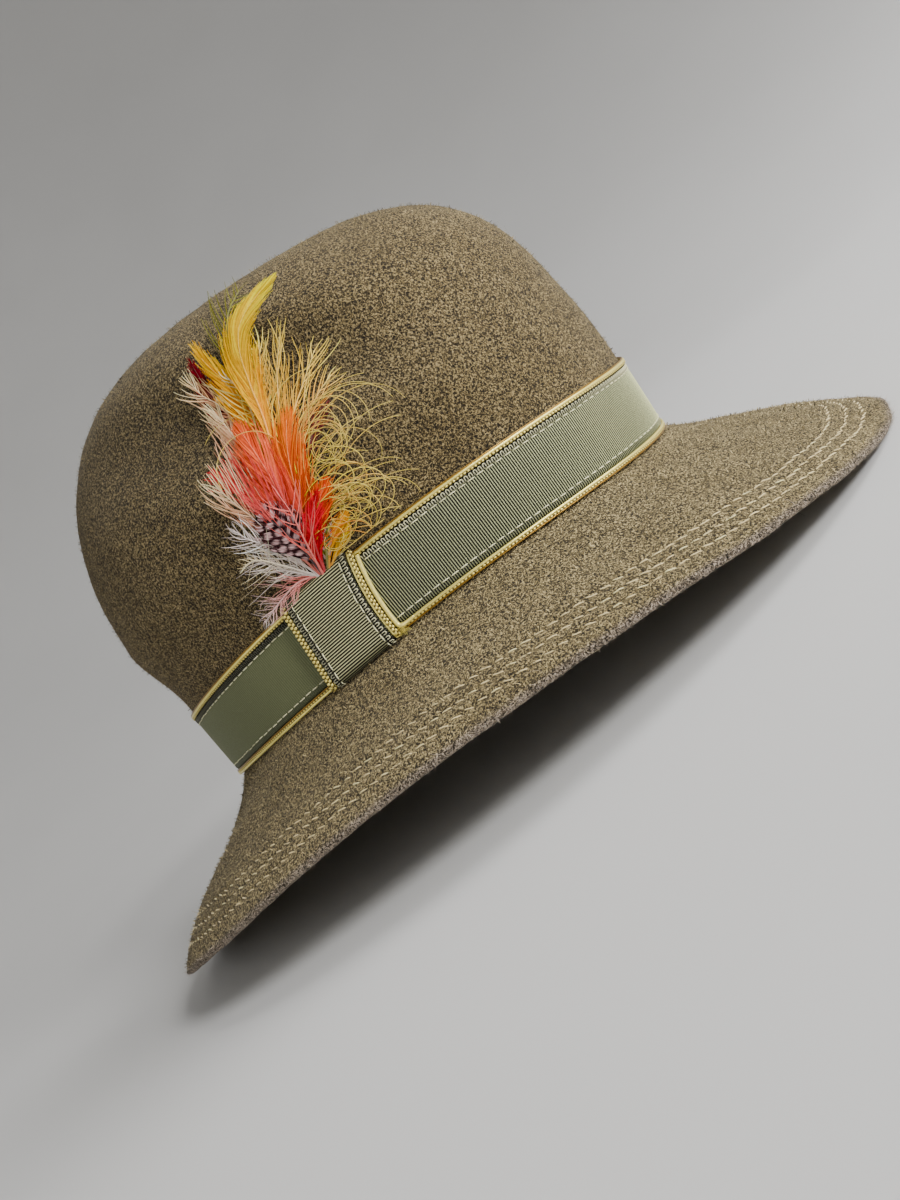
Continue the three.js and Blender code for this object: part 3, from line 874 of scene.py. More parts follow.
# Painted shade at the keeper's foot, where it bends in and faces down, and the length over which it
# fades
KEEPER_FOOT_PAINTED_SHADE = 0.15
UNDER_FADE = 5
FRONT_CORD = {"plait": 11.75, "strand": 13.3, "out": 3.2, "corner": 1.5}
BACK_CORD = KEEPER["width"] / 2 + CORD_GAP + KEEPER_CORD["radius"] - 0.2
END_STRAND = {"radius": 0.78, "above": 1.6, "points": 70, "bend_points": 14, "tail_points": 4,
              "tail_step": 0.8, "sunk": 0.9, "sinks_from": 0.5, "sinks_to": 3}
END_TIP_RADII = np.linspace(0.74, 0.45, 6)
FRAY = {"count": 34, "height": 0.4, "up_scatter": 0.45, "ahead": 1.2, "scatter": 0.5, "out": 2.2,
        "points": 7, "forwards": (0.2, 1.4), "spread": 0.5, "length": (1, 2.8),
        "rise": (0, 0.8), "radius": 0.2, "tip": 0.08, "shades": (0.4, 1), "seed": 41}

# The ribs' crests are painted light and the dips between them nearly black: painted highlight and
# painted shade over the ribs' relief. Satin is the cloth's own tone behind the keeper.
RIBBON_TONE_AND_RIB_SHADING = {"rib": rgb(236, 240, 180), "shaded_dip": rgb(1, 2, 1), "satin": rgb(104, 110, 74)}
KEEPER_RIB_SHADING = {"rib": rgb(255, 252, 190), "shaded_dip": rgb(2, 2, 1)}
THREAD_TONE = rgb(250, 246, 200)
GOLD_BRIGHT = rgb(255, 238, 132)
GOLD_BEAD = rgb(255, 236, 132)
# Painted shade in the waists between beads
GOLD_WAIST_PAINTED_SHADE = rgb(64, 40, 2)
GOLD_RIM = rgb(150, 112, 30)

# Strands of each cord, side by side: how it is made, its radius, how far aside it lies (above a
# level cord, ahead of an upright one), and a smooth one's tone or how far beads are turned
BEAD = {"pitch": 1.34, "waist": 0.7, "lift": 0.15}
BOTTOM_STRAND = 0.56
CORD_POINTS = {"smooth": 900, "beaded": 3600}
CORD_SHEEN = {"depth": 0.12, "size": 14, "seed": 31}
SIDE_CHANGE_SHARPNESS = 30
PLAIT_POINTS = 260
CORDS = {
    "piping_top": [("smooth", 0.28, 0.78, GOLD_RIM), ("smooth", 0.52, 0.12, GOLD_BRIGHT),
                   ("beaded", 0.36, -0.62, 0)],
    "piping_bottom": [("smooth", 0.5, BOTTOM_STRAND, GOLD_BRIGHT), ("beaded", 0.38, -0.16, 0),
                      ("smooth", 0.28, -0.7, GOLD_RIM)],
    "plait_front": [("smooth", 0.34, -0.76, GOLD_BRIGHT), ("beaded", 0.55, -0.05, 0),
                    ("beaded", 0.42, 0.62, math.pi)],
    "plait_back": [("beaded", 0.64, -0.5, 0), ("beaded", 0.64, 0.5, math.pi)],
}


def band_length(height=BAND_HEIGHT / 2):
    return run_along(wall_point(np.linspace(0, CIRCLE, FINE_TURNS), height))[-1]


def band_turns(count):
    """Turns an even distance apart round the band."""
    return turns_along(lambda turn: wall_point(turn, BAND_HEIGHT / 2), count)


def hump(phase):
    """1 at every whole circle of a phase and 0 halfway between."""
    return 0.5 + 0.5 * np.cos(phase)


def ribs(count):
    return hump(np.arange(count) / RIB_STEPS * CIRCLE)


# Painted highlight on the crests of the ribs and painted shade in the dips between them
def rib_painted_shading(rib, tones):
    return blend(tones["shaded_dip"], tones["rib"], rib[..., None] ** RIB_SHARPNESS)


def ribbed_share(turn):
    """1 in front of the keeper, where the ribs stand out, fading behind it to satin."""
    behind = smoothstep(turn, KEEPER_TURN - SATIN["edge"], KEEPER_TURN + SATIN["edge"])
    back = behind * (1 - smoothstep(turn, SATIN["fade_from"], SATIN["fade_to"]))
    return 1 - (1 - RIB_FADE) * back


def selvedge_tone_and_shade(edge, place):
    """Darker along an edge: painted shade under the loops, and at the band's foot a duller cloth.
    """
    lit = smoothstep(edge, LOOP["far"] - SELVEDGE_STEP, SELVEDGE)
    return 1 - SELVEDGE_TONE_AND_SHADE[place] * (1 - lit)


def ribbon_band():
    turn = band_turns(round(band_length() / RIB_PITCH) * RIB_STEPS)
    low, high = BAND_EDGES
    heights = np.concatenate([low + BAND_ROWS, high - BAND_ROWS[::-1]])
    rib, shown = ribs(len(turn)), ribbed_share(turn)
    edge = np.minimum(heights - low, high - heights)[:, None]
    turns, levels = np.meshgrid(turn, heights)
    out = RIBBON["outer"] + RIB_DEPTH * (rib - 0.5) * shown
    out = out - ROLL["depth"] * bump_at(edge, ROLL["half_width"])
    out = out - PULL["depth"] * bump_at(edge - SELVEDGE, PULL["half_width"])
    softness = waves(wall_point(turns, levels), BAND_SOFTNESS["size"], BAND_SOFTNESS["seed"])
    out = out + BAND_SOFTNESS["height"] * softness
    inside = band_point(turns[[-1, 0]], levels[[-1, 0]], RIBBON["inner"])
    points = np.concatenate([band_point(turns, levels, out), inside])
    contrast = blend(SATIN["ribs"], 1, (shown - RIB_FADE) / (1 - RIB_FADE))[:, None]
    # Painted shade: the ribs darken from the front back towards the keeper, where the light falls
    # off
    painted_shade = 1 - RIB_PAINTED_SHADE["most"] * smoothstep(turn, RIB_PAINTED_SHADE["from"], RIB_PAINTED_SHADE["to"])
    ribbed = rib_painted_shading(rib, RIBBON_TONE_AND_RIB_SHADING) * painted_shade[:, None]
    shade = selvedge_tone_and_shade(high - heights, "top") * selvedge_tone_and_shade(heights - low, "bottom")
    shade = np.append(shade, [1, 1])[:, None, None]
    tints = blend(RIBBON_TONE_AND_RIB_SHADING["satin"], ribbed, contrast) * shade
    faces = grid_faces(len(points), len(turn), True)
    return points.reshape(-1, 3), faces, tints.reshape(-1, 3)


def loop_path():
    """A narrow loop of thread: out along one rib, round, and back along the next. Gives the
    distances across the ribs and along them."""
    near, far, half_width = LOOP["near"], LOOP["far"], RIB_PITCH / 2
    angle = np.linspace(-0.5, 0.5, LOOP["points"] - 4) * math.pi
    across = np.concatenate([[-half_width] * 2, half_width * np.sin(angle), [half_width] * 2])
    straight = [far, (near + far) / 2]
    bend = near + half_width - half_width * np.cos(angle)
    return across, np.concatenate([straight, bend, straight[::-1]])


def band_loops():
    """Small loops of thread along the top edge of the band, one over every two ribs."""
    turn = band_turns(round(band_length() / RIB_PITCH / 2))
    across, along = loop_path()
    turns = turn[:, None] + across * CIRCLE / band_length()
    levels = BAND_EDGES[1] - along + 0 * turns
    out = np.full(LOOP["points"], RIBBON["outer"] + LOOP["height"])
    out[[0, -1]] -= LOOP["sink"]
    # Painted shade: the loops behind the keeper are made nearly black
    shade = np.where(ribbed_share(turn) > 0.9, LOOP_TONES_AND_SHADE["ribbed"], LOOP_TONES_AND_SHADE["satin"])
    return tube_bundle(band_point(turns, levels, out), band_normal(turns, levels),
                       LOOP["radius"], 4, shade[:, None, None] * THREAD_TONE)


def band_dashes(height, seed):
    """A row of running stitches round the band."""
    rng = np.random.default_rng(seed)
    length = band_length(height)
    turn = band_turns(round(length / DASH["period"]))
    share = np.linspace(-1, 1, DASH["points"])
    turns = turn[:, None] + share * DASH["length"] / 2 / length * CIRCLE
    levels = height + rng.normal(0, DASH["waver"], len(turn))[:, None] + 0 * turns
    out = RIBBON["outer"] + DASH["height"] - DASH["sink"] * share ** 4
    tone = rng.uniform(*DASH_SHADES, len(turn))[:, None, None] * THREAD_TONE
    return tube_bundle(band_point(turns, levels, out), band_normal(turns, levels),
                       DASH["radius"] * DASH_RADII, 4, tone)


def moved_aside(path, normal, aside):
    across = unit(np.cross(np.gradient(path, axis=0), normal))
    return path + across * np.broadcast_to(aside, len(path))[:, None]


def strand(path, normal, radius, aside, tone, closed):
    """Smooth strand to one side of a path."""
    path = moved_aside(path, normal, aside)
    uneven = np.abs(waves(path, CORD_SHEEN["size"], CORD_SHEEN["seed"]))
    sheen = 1 - CORD_SHEEN["depth"] * uneven[:, None]
    return tube_bundle(path[None], normal[None], radius, 8 if closed else 6,
                       (tone * sheen)[None], closed)


def beads(path, normal, radius, aside, turned, closed):
    """Strand that swells into beads, to one side of a path, with painted shade in the waists
    between them.
    """
    run = run_along(path)
    whole = run[-1] + (np.linalg.norm(path[0] - path[-1]) if closed else 0)
    swell = hump(run / whole * round(whole / BEAD["pitch"]) * CIRCLE + turned)
    lift = BEAD["lift"] * radius * swell
    path = moved_aside(path, normal, aside) + normal * lift[:, None]
    # Painted shade in the waists, the thread's gold on the beads
    tone = blend(GOLD_WAIST_PAINTED_SHADE, GOLD_BEAD, swell[:, None])
    radii = radius * blend(BEAD["waist"], 1, swell)
    return tube_bundle(path[None], normal[None], radii, 6, tone[None], closed)


def in_front(count):
    """1 in front of the keeper and -1 behind it, for points an even distance apart."""
    turn = band_turns(count)
    before_keeper = np.tanh((KEEPER_TURN - turn) * SIDE_CHANGE_SHARPNESS)
    before_front = np.tanh((turn - 1.5 * math.pi) * SIDE_CHANGE_SHARPNESS)
    return before_keeper + 1 + before_front


def piping(name, height, changes_sides=False):
    """Cord round the band. One that changes sides has its broad strand next to the ribbon in
    front of the keeper, and next to the brim behind it."""
    parts = []
    for kind, radius, aside, detail in CORDS[name]:
        count = CORD_POINTS[kind]
        turn = band_turns(count)
        path, normal = band_point(turn, height, BAND_CORD["out"]), band_normal(turn, height)
        if changes_sides:
            aside = aside * in_front(count)
        make = strand if kind == "smooth" else beads
        parts.append(make(path, normal, radius, aside, detail, True))
    return joined(parts)


def plait(name, towards_back, out):
    """Cord on one of the keeper's long edges: rows of beads that stand in turn."""
    along = np.linspace(KEEPER["low"], KEEPER["high"], PLAIT_POINTS)
    path, normal = keeper_place(towards_back, along, out)
    return joined([
        (strand if kind == "smooth" else beads)(path, normal, radius, aside, detail, False)
        for kind, radius, aside, detail in CORDS[name]
    ])


def keeper_point(towards_back, along, out):
    """Point of the keeper, which lies flat on the band and bends in over its two edges. Along
    is the distance along the ribbon from the band's foot."""
    radius = KEEPER_BEND
    low, high = KEEPER["low"] + radius, KEEPER["high"] - radius
    over = np.maximum(0, along - high) + np.minimum(0, along - low)
    bend = np.clip(np.abs(over) / radius, 0, math.pi / 2)
    past = np.maximum(0, np.abs(over) - radius * math.pi / 2)
    outer = radius + out - KEEPER["outer"]
    height = np.clip(along, low, high) + np.sign(over) * outer * np.sin(bend)
    inwards = outer * (1 - np.cos(bend)) + past
    return band_point(keeper_turn(towards_back, height), height, out - inwards)


def keeper_place(towards_back, along, out):
    """Points of the keeper, and the directions out of it."""
    point = keeper_point(towards_back, along, out)
    return point, unit(keeper_point(towards_back, along, out + 0.3) - point)


def end_strand():
    """Broad smooth strand down the band's finished end and round its lower corner, with the
    frayed ends of its thread."""
    count, radius = END_STRAND["points"], FRONT_CORD["corner"]
    bend = np.linspace(0, math.pi / 2, END_STRAND["bend_points"])[1:]
    low = BAND_CORD["low"] + BOTTOM_STRAND + radius
    tail = radius + np.arange(1, END_STRAND["tail_points"] + 1) * END_STRAND["tail_step"]
    height = np.concatenate([np.linspace(END_CORD["high"] + END_STRAND["above"], low, count),
                             low - radius * np.sin(bend), low - radius + 0 * tail])
    ahead = np.concatenate([np.zeros(count), radius * (1 - np.cos(bend)), tail])
    turns = keeper_turn(-FRONT_CORD["strand"] - ahead, height)
    sunk = smoothstep(ahead, END_STRAND["sinks_from"], radius + END_STRAND["sinks_to"])
    out = END_CORD["out"] - END_STRAND["sunk"] * sunk
    path, normal = band_point(turns, height, out), band_normal(turns, height)
    radii = np.full(len(height), END_STRAND["radius"])
    radii[-len(END_TIP_RADII):] = END_TIP_RADII
    smooth = tube_bundle(path[None], normal[None], radii, 10, GOLD_BRIGHT)
    return joined([smooth, frayed_ends()])


def frayed_ends():
    rng = np.random.default_rng(FRAY["seed"])
    count, share = FRAY["count"], np.linspace(0, 1, FRAY["points"])
    height = FRAY["height"] + rng.normal(0, FRAY["up_scatter"], count)
    ahead = FRONT_CORD["plait"] + FRAY["ahead"] - rng.normal(0, FRAY["scatter"], count)
    turn = keeper_turn(-ahead, height)
    start, normal = band_point(turn, height, FRAY["out"]), band_normal(turn, height)
    along = unit(np.cross(normal, (0, 0, 1)))
    forwards = -along * rng.uniform(*FRAY["forwards"], (count, 1))
    heading = unit(forwards + rng.normal(0, FRAY["spread"], (count, 3)))
    way = heading * rng.uniform(*FRAY["length"], (count, 1))
    way = way + normal * rng.uniform(*FRAY["rise"], (count, 1))
    ends = start[:, None] + way[:, None] * share[:, None]
    tone = rng.uniform(*FRAY["shades"], count)[:, None, None] * GOLD_BRIGHT
    radii = blend(FRAY["radius"], FRAY["tip"], share)
    return tube_bundle(ends, normal[:, None] + 0 * ends, radii, 4, tone)


def keeper_strip():
    low, high = KEEPER["low"] - KEEPER_REACH, KEEPER["high"] + KEEPER_REACH
    along = np.linspace(low, high, round((high - low) / RIB_PITCH) * RIB_STEPS + 1)
    across = np.linspace(-0.5, 0.5, KEEPER_COLUMNS) * KEEPER["width"]
    rib = ribs(len(along))[:, None]
    levels, sides = np.meshgrid(along, across, indexing="ij")
    edge = KEEPER["width"] / 2 - np.abs(sides)
    roll = KEEPER_ROLL["depth"] * bump_at(edge, KEEPER_ROLL["half_width"])
    outside = keeper_point(sides, levels, KEEPER["outer"] + RIB_DEPTH * (rib - 0.5) - roll)
    inside = keeper_point(sides, levels, KEEPER["outer"] - KEEPER_CLOTH)
    points = np.concatenate([outside, inside[:, ::-1]], axis=1)
    rows, columns = points.shape[:2]
    faces = [grid_faces(rows, columns)]
    column = np.arange(KEEPER_COLUMNS - 1)
    for first, order in ((0, 1), ((rows - 1) * columns, -1)):
        last = first + columns - 1
        cap = [first + column, first + column + 1, last - column - 1, last - column]
        faces.append(np.stack(cap[::order], axis=-1))
    # Painted shade towards the keeper's foot, where it bends in away from the light
    under = smoothstep(along, low, KEEPER["low"] + UNDER_FADE)
    tints = rib_painted_shading(rib, KEEPER_RIB_SHADING) * blend(KEEPER_FOOT_PAINTED_SHADE, 1, under)[:, None, None]
    shade = np.concatenate([selvedge_tone_and_shade(edge, "keeper"), np.ones(edge.shape)], axis=1)
    shade = shade[..., None]
    return points.reshape(-1, 3), np.concatenate(faces), (tints * shade).reshape(-1, 3)


def keeper_stitches():
    """A dashed line and a row of small loops inside each long edge of the keeper."""
    parts = []
    rng = np.random.default_rng(43)
    low, high = KEEPER["low"] - KEEPER_REACH, KEEPER["high"] + KEEPER_REACH
    edge = KEEPER["width"] / 2
    across, along = loop_path()
    for side, loop_shade in ((-1, LOOP_TONES_AND_SHADE["keeper_front"]), (1, LOOP_TONES_AND_SHADE["keeper_back"])):
        starts = np.arange(low + RIB_PITCH / 2, high, RIB_PITCH * 2)
        levels = starts[:, None] + across
        sides = side * (edge - along) + 0 * levels
        parts.append(keeper_threads(sides, levels, LOOP, loop_shade))
        starts = np.arange(low, high - DASH["length"], DASH["period"])
        levels = starts[:, None] + np.linspace(0, DASH["length"], DASH["points"])
        waver = rng.normal(0, DASH["keeper_waver"], len(starts))[:, None]
        sides = side * (edge - SELVEDGE) + waver + 0 * levels
        parts.append(keeper_threads(sides, levels, DASH, 1))
    return joined(parts)


def keeper_threads(sides, levels, stitch, shade):
    """Threads on the keeper whose two ends go down into it."""
    share = np.linspace(-1, 1, sides.shape[1])
    out = KEEPER["outer"] + stitch["height"] - DASH["sink"] * share ** 8
    centre, normal = keeper_place(sides, levels, out)
    return tube_bundle(centre, normal, stitch["radius"], 4, shade * THREAD_TONE)


add_piece("ribbon", ribbon_band(), RIBBON_CLOTH, "ribbon", "ribbon_band")
add_piece("ribbon_loops", band_loops(), THREAD, "ribbon")
add_piece("ribbon_dashes", joined([
    band_dashes(BAND_EDGES[0] + SELVEDGE, 44),
    band_dashes(BAND_EDGES[1] - SELVEDGE, 236),
]), THREAD, "ribbon")
add_piece("piping_top", piping("piping_top", BAND_CORD["high"]), GOLD, "cord", "band_cord_top")
add_piece("piping_bottom", piping("piping_bottom", BAND_CORD["low"], True), GOLD, "cord",
          "band_cord_bottom")
add_piece("piping_end", end_strand(), GOLD, "cord", "band_end_cord")
add_piece("plait_front", plait("plait_front", -FRONT_CORD["plait"], FRONT_CORD["out"]), GOLD,
          "cord", "keeper_cord_front")
add_piece("plait_back", plait("plait_back", BACK_CORD, KEEPER_CORD["out"]), GOLD, "cord",
          "keeper_cord_back")
add_piece("keeper_ribbon", keeper_strip(), RIBBON_CLOTH, "ribbon", "keeper")
add_piece("keeper_stitches", keeper_stitches(), THREAD, "ribbon")


# Feather spray

# Kinds of vane. The barbs of a closed one follow the quill out to the vane's edge, and those of
# an open one stand straight and apart. Then come a barb's width and its points, how unevenly
# tufts and single barbs are grown, how far they lift off the quill, how blunt the tip is, and
# the range of shades from barb to barb.
VANE_COLUMNS = ("closed", "width", "steps", "tufts", "stray", "lift", "blunt", "shade")
VANES = {
    "web": (True, 0.5, 11, 0.16, 0.12, 0.5, 1.7, (0.55, 1.15)),
    "flame": (True, 0.4, 12, 0.08, 0.1, 0.5, 8, (0.65, 1.25)),
    "strands": (False, 0.4, 12, 0.2, 0.2, 1.1, 4, (0.65, 1.2)),
    "fluff": (False, 0.24, 12, 0.3, 0.65, 2.2, 3, (0.75, 1.15)),
    "spotted": (True, 0.6, 14, 0.1, 0.06, 0.3, 5, (0.55, 1.15)),
}
TUFT_LENGTH = 3.2
DEEPEST_SHADE = 0.4
LIGHTEST_SHADE = 1.15

YELLOW = rgb(255, 228, 0)
FLAME = rgb(255, 152, 0)
GOLD_TIP = rgb(255, 200, 0)
GOLDEN = rgb(255, 176, 0)
AMBER = rgb(255, 140, 0)
STRAW = rgb(255, 228, 118)
ORANGE = rgb(255, 104, 0)
APRICOT = rgb(255, 116, 50)
CORAL = rgb(255, 84, 50)
PINK = rgb(250, 116, 106)
ROSE = rgb(240, 60, 66)
RED = rgb(220, 0, 36)
DARK_RED = rgb(140, 4, 30)
CREAM = rgb(250, 232, 180)
OLIVE = rgb(140, 138, 42)
MAROON = rgb(62, 24, 30)
WHITE = rgb(252, 236, 228)
SPECK = rgb(236, 196, 196)
PURPLE = rgb(120, 52, 50)

# Each feather's quill from its foot to its tip: millimetres ahead of the spray's middle, up
# the crown, and out from the felt. Then the half width of its vane, how far its barbs run along
# the quill, how many there are to a side, where on the quill they begin, and the colours of
# foot and tip.
FEATHER_COLUMNS = ("kind", "ahead", "up", "out", "vane", "sweep", "barbs", "from", "foot", "tip")
FEATHERS = {
    "dark_red": ("web", (3.5, 10, 4.8, 5.8), (0.8, 41.6, 60.9, 74.5), (1.5, 3, 3.5, 4),
                 4.5, 12, 80, 0.5, DARK_RED, DARK_RED),
    "cream_curl": ("strands", (3, 6.8, 5.5, 3.2, 2.8), (0.8, 41.2, 57.6, 64, 70),
                   (1.5, 3, 4, 5, 6), 5, 22, 34, 0.35, CORAL, CREAM),
    "cream_low": ("strands", (3, 4.8, 4.8, 3.4), (0.8, 34.4, 46, 56), (1.5, 3.2, 4.2, 5),
                  5.5, 28, 46, 0.2, PINK, CREAM),
    "gold_left": ("web", (3.8, 11.8, 11, 11.2, 10.8), (0.8, 37.2, 54.5, 66, 73),
                  (2, 4.5, 6, 7, 7.5), 4.2, 22, 90, 0.3, AMBER, GOLD_TIP),
    "gold_wisps": ("strands", (8, 12.4, 12.8), (30, 50, 64), (4.5, 6.4, 7.4),
                   6, 18, 12, 0.2, YELLOW, CREAM),
    "fan_flame": ("strands", (11, 15, 19.2, 26), (22.5, 40, 55.6, 67), (3, 6, 7, 7.5),
                  4, 24, 18, 0.1, GOLDEN, STRAW),
    "fan_middle": ("strands", (11.5, 17.5, 24, 31.5), (22.1, 41.2, 55.6, 65), (3, 6, 7, 7.5),
                   3.4, 26, 14, 0.1, GOLDEN, STRAW),
    "fan_right": ("strands", (11.8, 18.8, 26.8, 35), (21.7, 37.6, 46.5, 54.5),
                  (2.5, 5, 6, 6.5), 4.6, 24, 14, 0.1, GOLDEN, STRAW),
    "fan_far": ("strands", (12, 19.2, 27.2, 34), (21.7, 34, 40, 43.6), (2.5, 5, 6, 6.5),
                4.2, 17, 12, 0.1, ORANGE, STRAW),
    "olive_wisps": ("strands", (14, 18.5, 24, 32), (56, 68.5, 76, 79.5), (6, 7, 7.5, 8),
                    4.5, 14, 16, 0.1, OLIVE, OLIVE),
    "yellow": ("flame", (12.2, 14.2, 16, 19.8, 24, 28.6, 33.2, 37.5),
               (33.6, 41.2, 54.5, 65.7, 71.2, 73.2, 74, 74.5), (6, 8, 8.5, 9, 9.5, 10, 10.5, 11),
               (4.2, 4.6, 3.6, 2.2, 1.6, 1.3, 1, 0.4), 25, 210, 0, FLAME, YELLOW),
    "orange": ("web", (4.2, 11, 15.5, 19.2), (0.8, 21.7, 32, 38.9), (2.5, 6.5, 8, 8),
               4.4, 20, 90, 0.12, RED, AMBER),
    "coral": ("web", (4, 7.8, 9.5, 7.8), (0.8, 21.3, 32.9, 45.2), (2.5, 7, 8, 7.5),
              4.6, 20, 90, 0.12, ROSE, APRICOT),
    "pink": ("strands", (3.5, 5.2, 3.5, -2.2), (0.8, 20.1, 30.9, 40), (2.5, 7, 7.5, 7),
             3.8, 18, 60, 0.15, PINK, ROSE),
    "pink_over": ("strands", (4, 7.2, 9, 9.2), (0.8, 12.9, 22.1, 27), (3, 9, 10, 10),
                  4, 14, 10, 0.15, PINK, PINK),
    "guinea": ("spotted", (3.8, 4.8, 4.2, 3), (0.8, 12.1, 20.5, 27), (2.5, 7, 8, 8),
               5, 9, 70, 0.15, MAROON, MAROON),
    "red": ("web", (4.5, 8.8, 11.5, 15.8), (0.8, 11.3, 16.5, 21.3), (2.5, 8, 9.5, 9.5),
            2.6, 9, 70, 0.1, RED, RED),
    "red_right": ("web", (4.5, 10.2, 14.6, 18.6), (0.8, 12.5, 18.6, 22), (2.5, 7, 8, 8),
                  3.6, 11, 80, 0.15, RED, ORANGE),
    "yellow_small": ("web", (6, 10.5, 14, 17.5), (0.8, 6.5, 9, 11), (2.5, 6, 7, 7),
                     1.8, 9, 50, 0.1, GOLDEN, GOLDEN),
    "yellow_low": ("web", (6.2, 10.8, 14.5, 16.5), (0.8, 3.6, 6, 8.5), (2.2, 4.5, 5.5, 5.5),
                   1.6, 8, 40, 0.1, GOLDEN, YELLOW),
    "spotted_strip": ("spotted", (5.5, 9.5, 11.8, 13.5), (0.8, 6.5, 9.3, 12.1),
                      (2.5, 6, 7, 7), 1.5, 4, 34, 0.1, OLIVE, OLIVE),
    "purple": ("strands", (14, 21.2, 25.2, 29), (26.9, 32.9, 36, 38.4), (3, 4, 4, 4),
               2.2, 8, 18, 0.1, PURPLE, PURPLE),
    "fluff_low": ("fluff", (3.2, -2.2, -10.5, -17), (1.2, 4, 3.2, 1.8), (2.2, 4, 4.5, 4.5),
                  3.8, 8, 32, 0.1, PINK, WHITE),
    "fluff_side": ("fluff", (2.8, -2.2, -5, -6.2), (0.8, 8.9, 14.5, 18.5), (2.2, 5, 6, 7),
                   4.5, 10, 22, 0.1, WHITE, WHITE),
    "white_high": ("strands", (3.2, 1.5, -0.8, -3), (0.8, 21.7, 31.3, 37.5), (2.5, 6, 8, 8),
                   4.2, 22, 28, 0.15, PINK, CREAM),
    "white_middle": ("strands", (3, 0, -3.4, -5.2), (0.8, 16, 23, 27.5), (2.5, 6, 8, 8),
                     4.2, 13, 24, 0.15, WHITE, WHITE),
    "white_low": ("fluff", (3, -2, -5.4, -9), (0.8, 11.2, 17.5, 19), (2.5, 6, 8, 9),
                  4.2, 9, 20, 0.15, WHITE, CREAM),
}

QUILL = {"foot": 0.42, "tip": 0.12, "points": 48, "sides": 6, "shade": 0.85, "light": 0.08}
SPOT = {"along": 3.1, "across": 2.3, "radius": 0.36, "rim": 0.12, "waver": 0.3}
LOWEST_OUT = 0.4
SPRAY_SEED = 61

# How barbs grow: the vane's fullness at its start, how fast it fills out and what is left at the
# tip, how much shorter barbs get on the way there, the bow, droop and lift of single ones, and
# how they narrow and lean
BARB = {"start": 0.3, "filling": 3, "left": 0.04, "shortening": 0.8, "lengths": (0.8, 1.1),
        "bow": 1.6, "droop": 0.3, "lift": 0.6, "narrowing": 0.7, "narrowing_bend": 1.5,
        "widths": (0.75, 1.1), "lean": 0.3}
# How a feather's colour goes from its foot's to its tip's, along the quill and along each barb
TONE_RUN = {"quill": 0.75, "barb": 0.35, "tuft": 0.1, "depth": 0.6}

# Loose curls, with the first, the last and the scatter of where they start and of their heading
# in degrees, and ranges of turning in degrees to a millimetre, length, height and its change
CURLS = {"count": 90, "radius": 0.16, "points": 26, "ahead": (8, 17, 1.5), "up": (7, 31, 2),
         "heading": (20, 75, 16), "turning": (2, 13), "backwards": 0.04,
         "backwards_turning": 0.6, "bend": (0.4, 1), "length": (15, 38), "out": (5, 8),
         "change": (-2, 4), "lowest": 2.5, "tip": 0.5, "shades": (0.6, 1)}


def spline(places, count):
    """Smooth curve through some places, with its points an even distance apart."""
    places = np.asarray(places, float)
    before = 2 * places[0] - places[1]
    after = 2 * places[-1] - places[-2]
    places = np.concatenate([[before], places, [after]])
    place = np.linspace(0, len(places) - 3, 160)
    index = np.minimum(place.astype(int), len(places) - 4)
    part = (place - index)[:, None]
    a, b, c, d = (places[index + k] for k in range(4))
    curve = 0.5 * (2 * b + (c - a) * part + (2 * a - 5 * b + 4 * c - d) * part ** 2
                   + (3 * b - a - 3 * c + d) * part ** 3)
    run = run_along(curve)
    return at_shares(np.linspace(0, run[-1], count), run, curve)


def at_shares(wanted, known, rows):
    return np.stack([np.interp(wanted, known, column) for column in rows.T], axis=-1)


def on_crown(chart):
    """Points and outward directions for places on the chart."""
    ahead, up, out = np.moveaxis(chart, -1, 0)
    out = np.maximum(out, LOWEST_OUT)
    point = spray_point(ahead, up, out)
    return point, unit(spray_point(ahead, up, out + 0.5) - point)


def quill_at(line, share):
    """Places and directions on the chart at shares of a quill's length, on past its tip."""
    whole = np.linalg.norm(line[-1] - line[-2]) * (len(line) - 1)
    known = np.linspace(0, 1, len(line))
    within = np.clip(share, 0, 1)
    ahead = at_shares(within, known, unit(np.gradient(line, axis=0)))
    return at_shares(within, known, line) + ahead * ((share - within) * whole)[..., None], ahead


def spots(along, across, dark):
    """Round light spots in rows, every second row set half a pitch on."""
    row = np.round(across / SPOT["across"] - 0.5)
    near = (along / SPOT["along"] + 0.5 * (row % 2)) % 1 - 0.5
    aside = (across / SPOT["across"] - 0.5 - row) * SPOT["across"] / SPOT["along"]
    rim = smoothstep(np.hypot(near, aside), SPOT["radius"] - SPOT["rim"], SPOT["radius"])
    return blend(SPECK, dark, rim[..., None])


def feather(row, rng):
    kind = dict(zip(VANE_COLUMNS, VANES[row["kind"]]))
    line = spline(np.stack([row["ahead"], row["up"], row["out"]], axis=-1), QUILL["points"])
    share = np.linspace(0, 1, QUILL["points"])
    centre, normal = on_crown(line)
    radii = blend(QUILL["foot"], QUILL["tip"], share)
    tone = blend(row["foot"], row["tip"], share[:, None]) * QUILL["shade"] + QUILL["light"]
    quill = tube_bundle(centre[None], normal[None], radii, QUILL["sides"], tone[None])
    return joined([quill, barbs(row, kind, line, rng)])


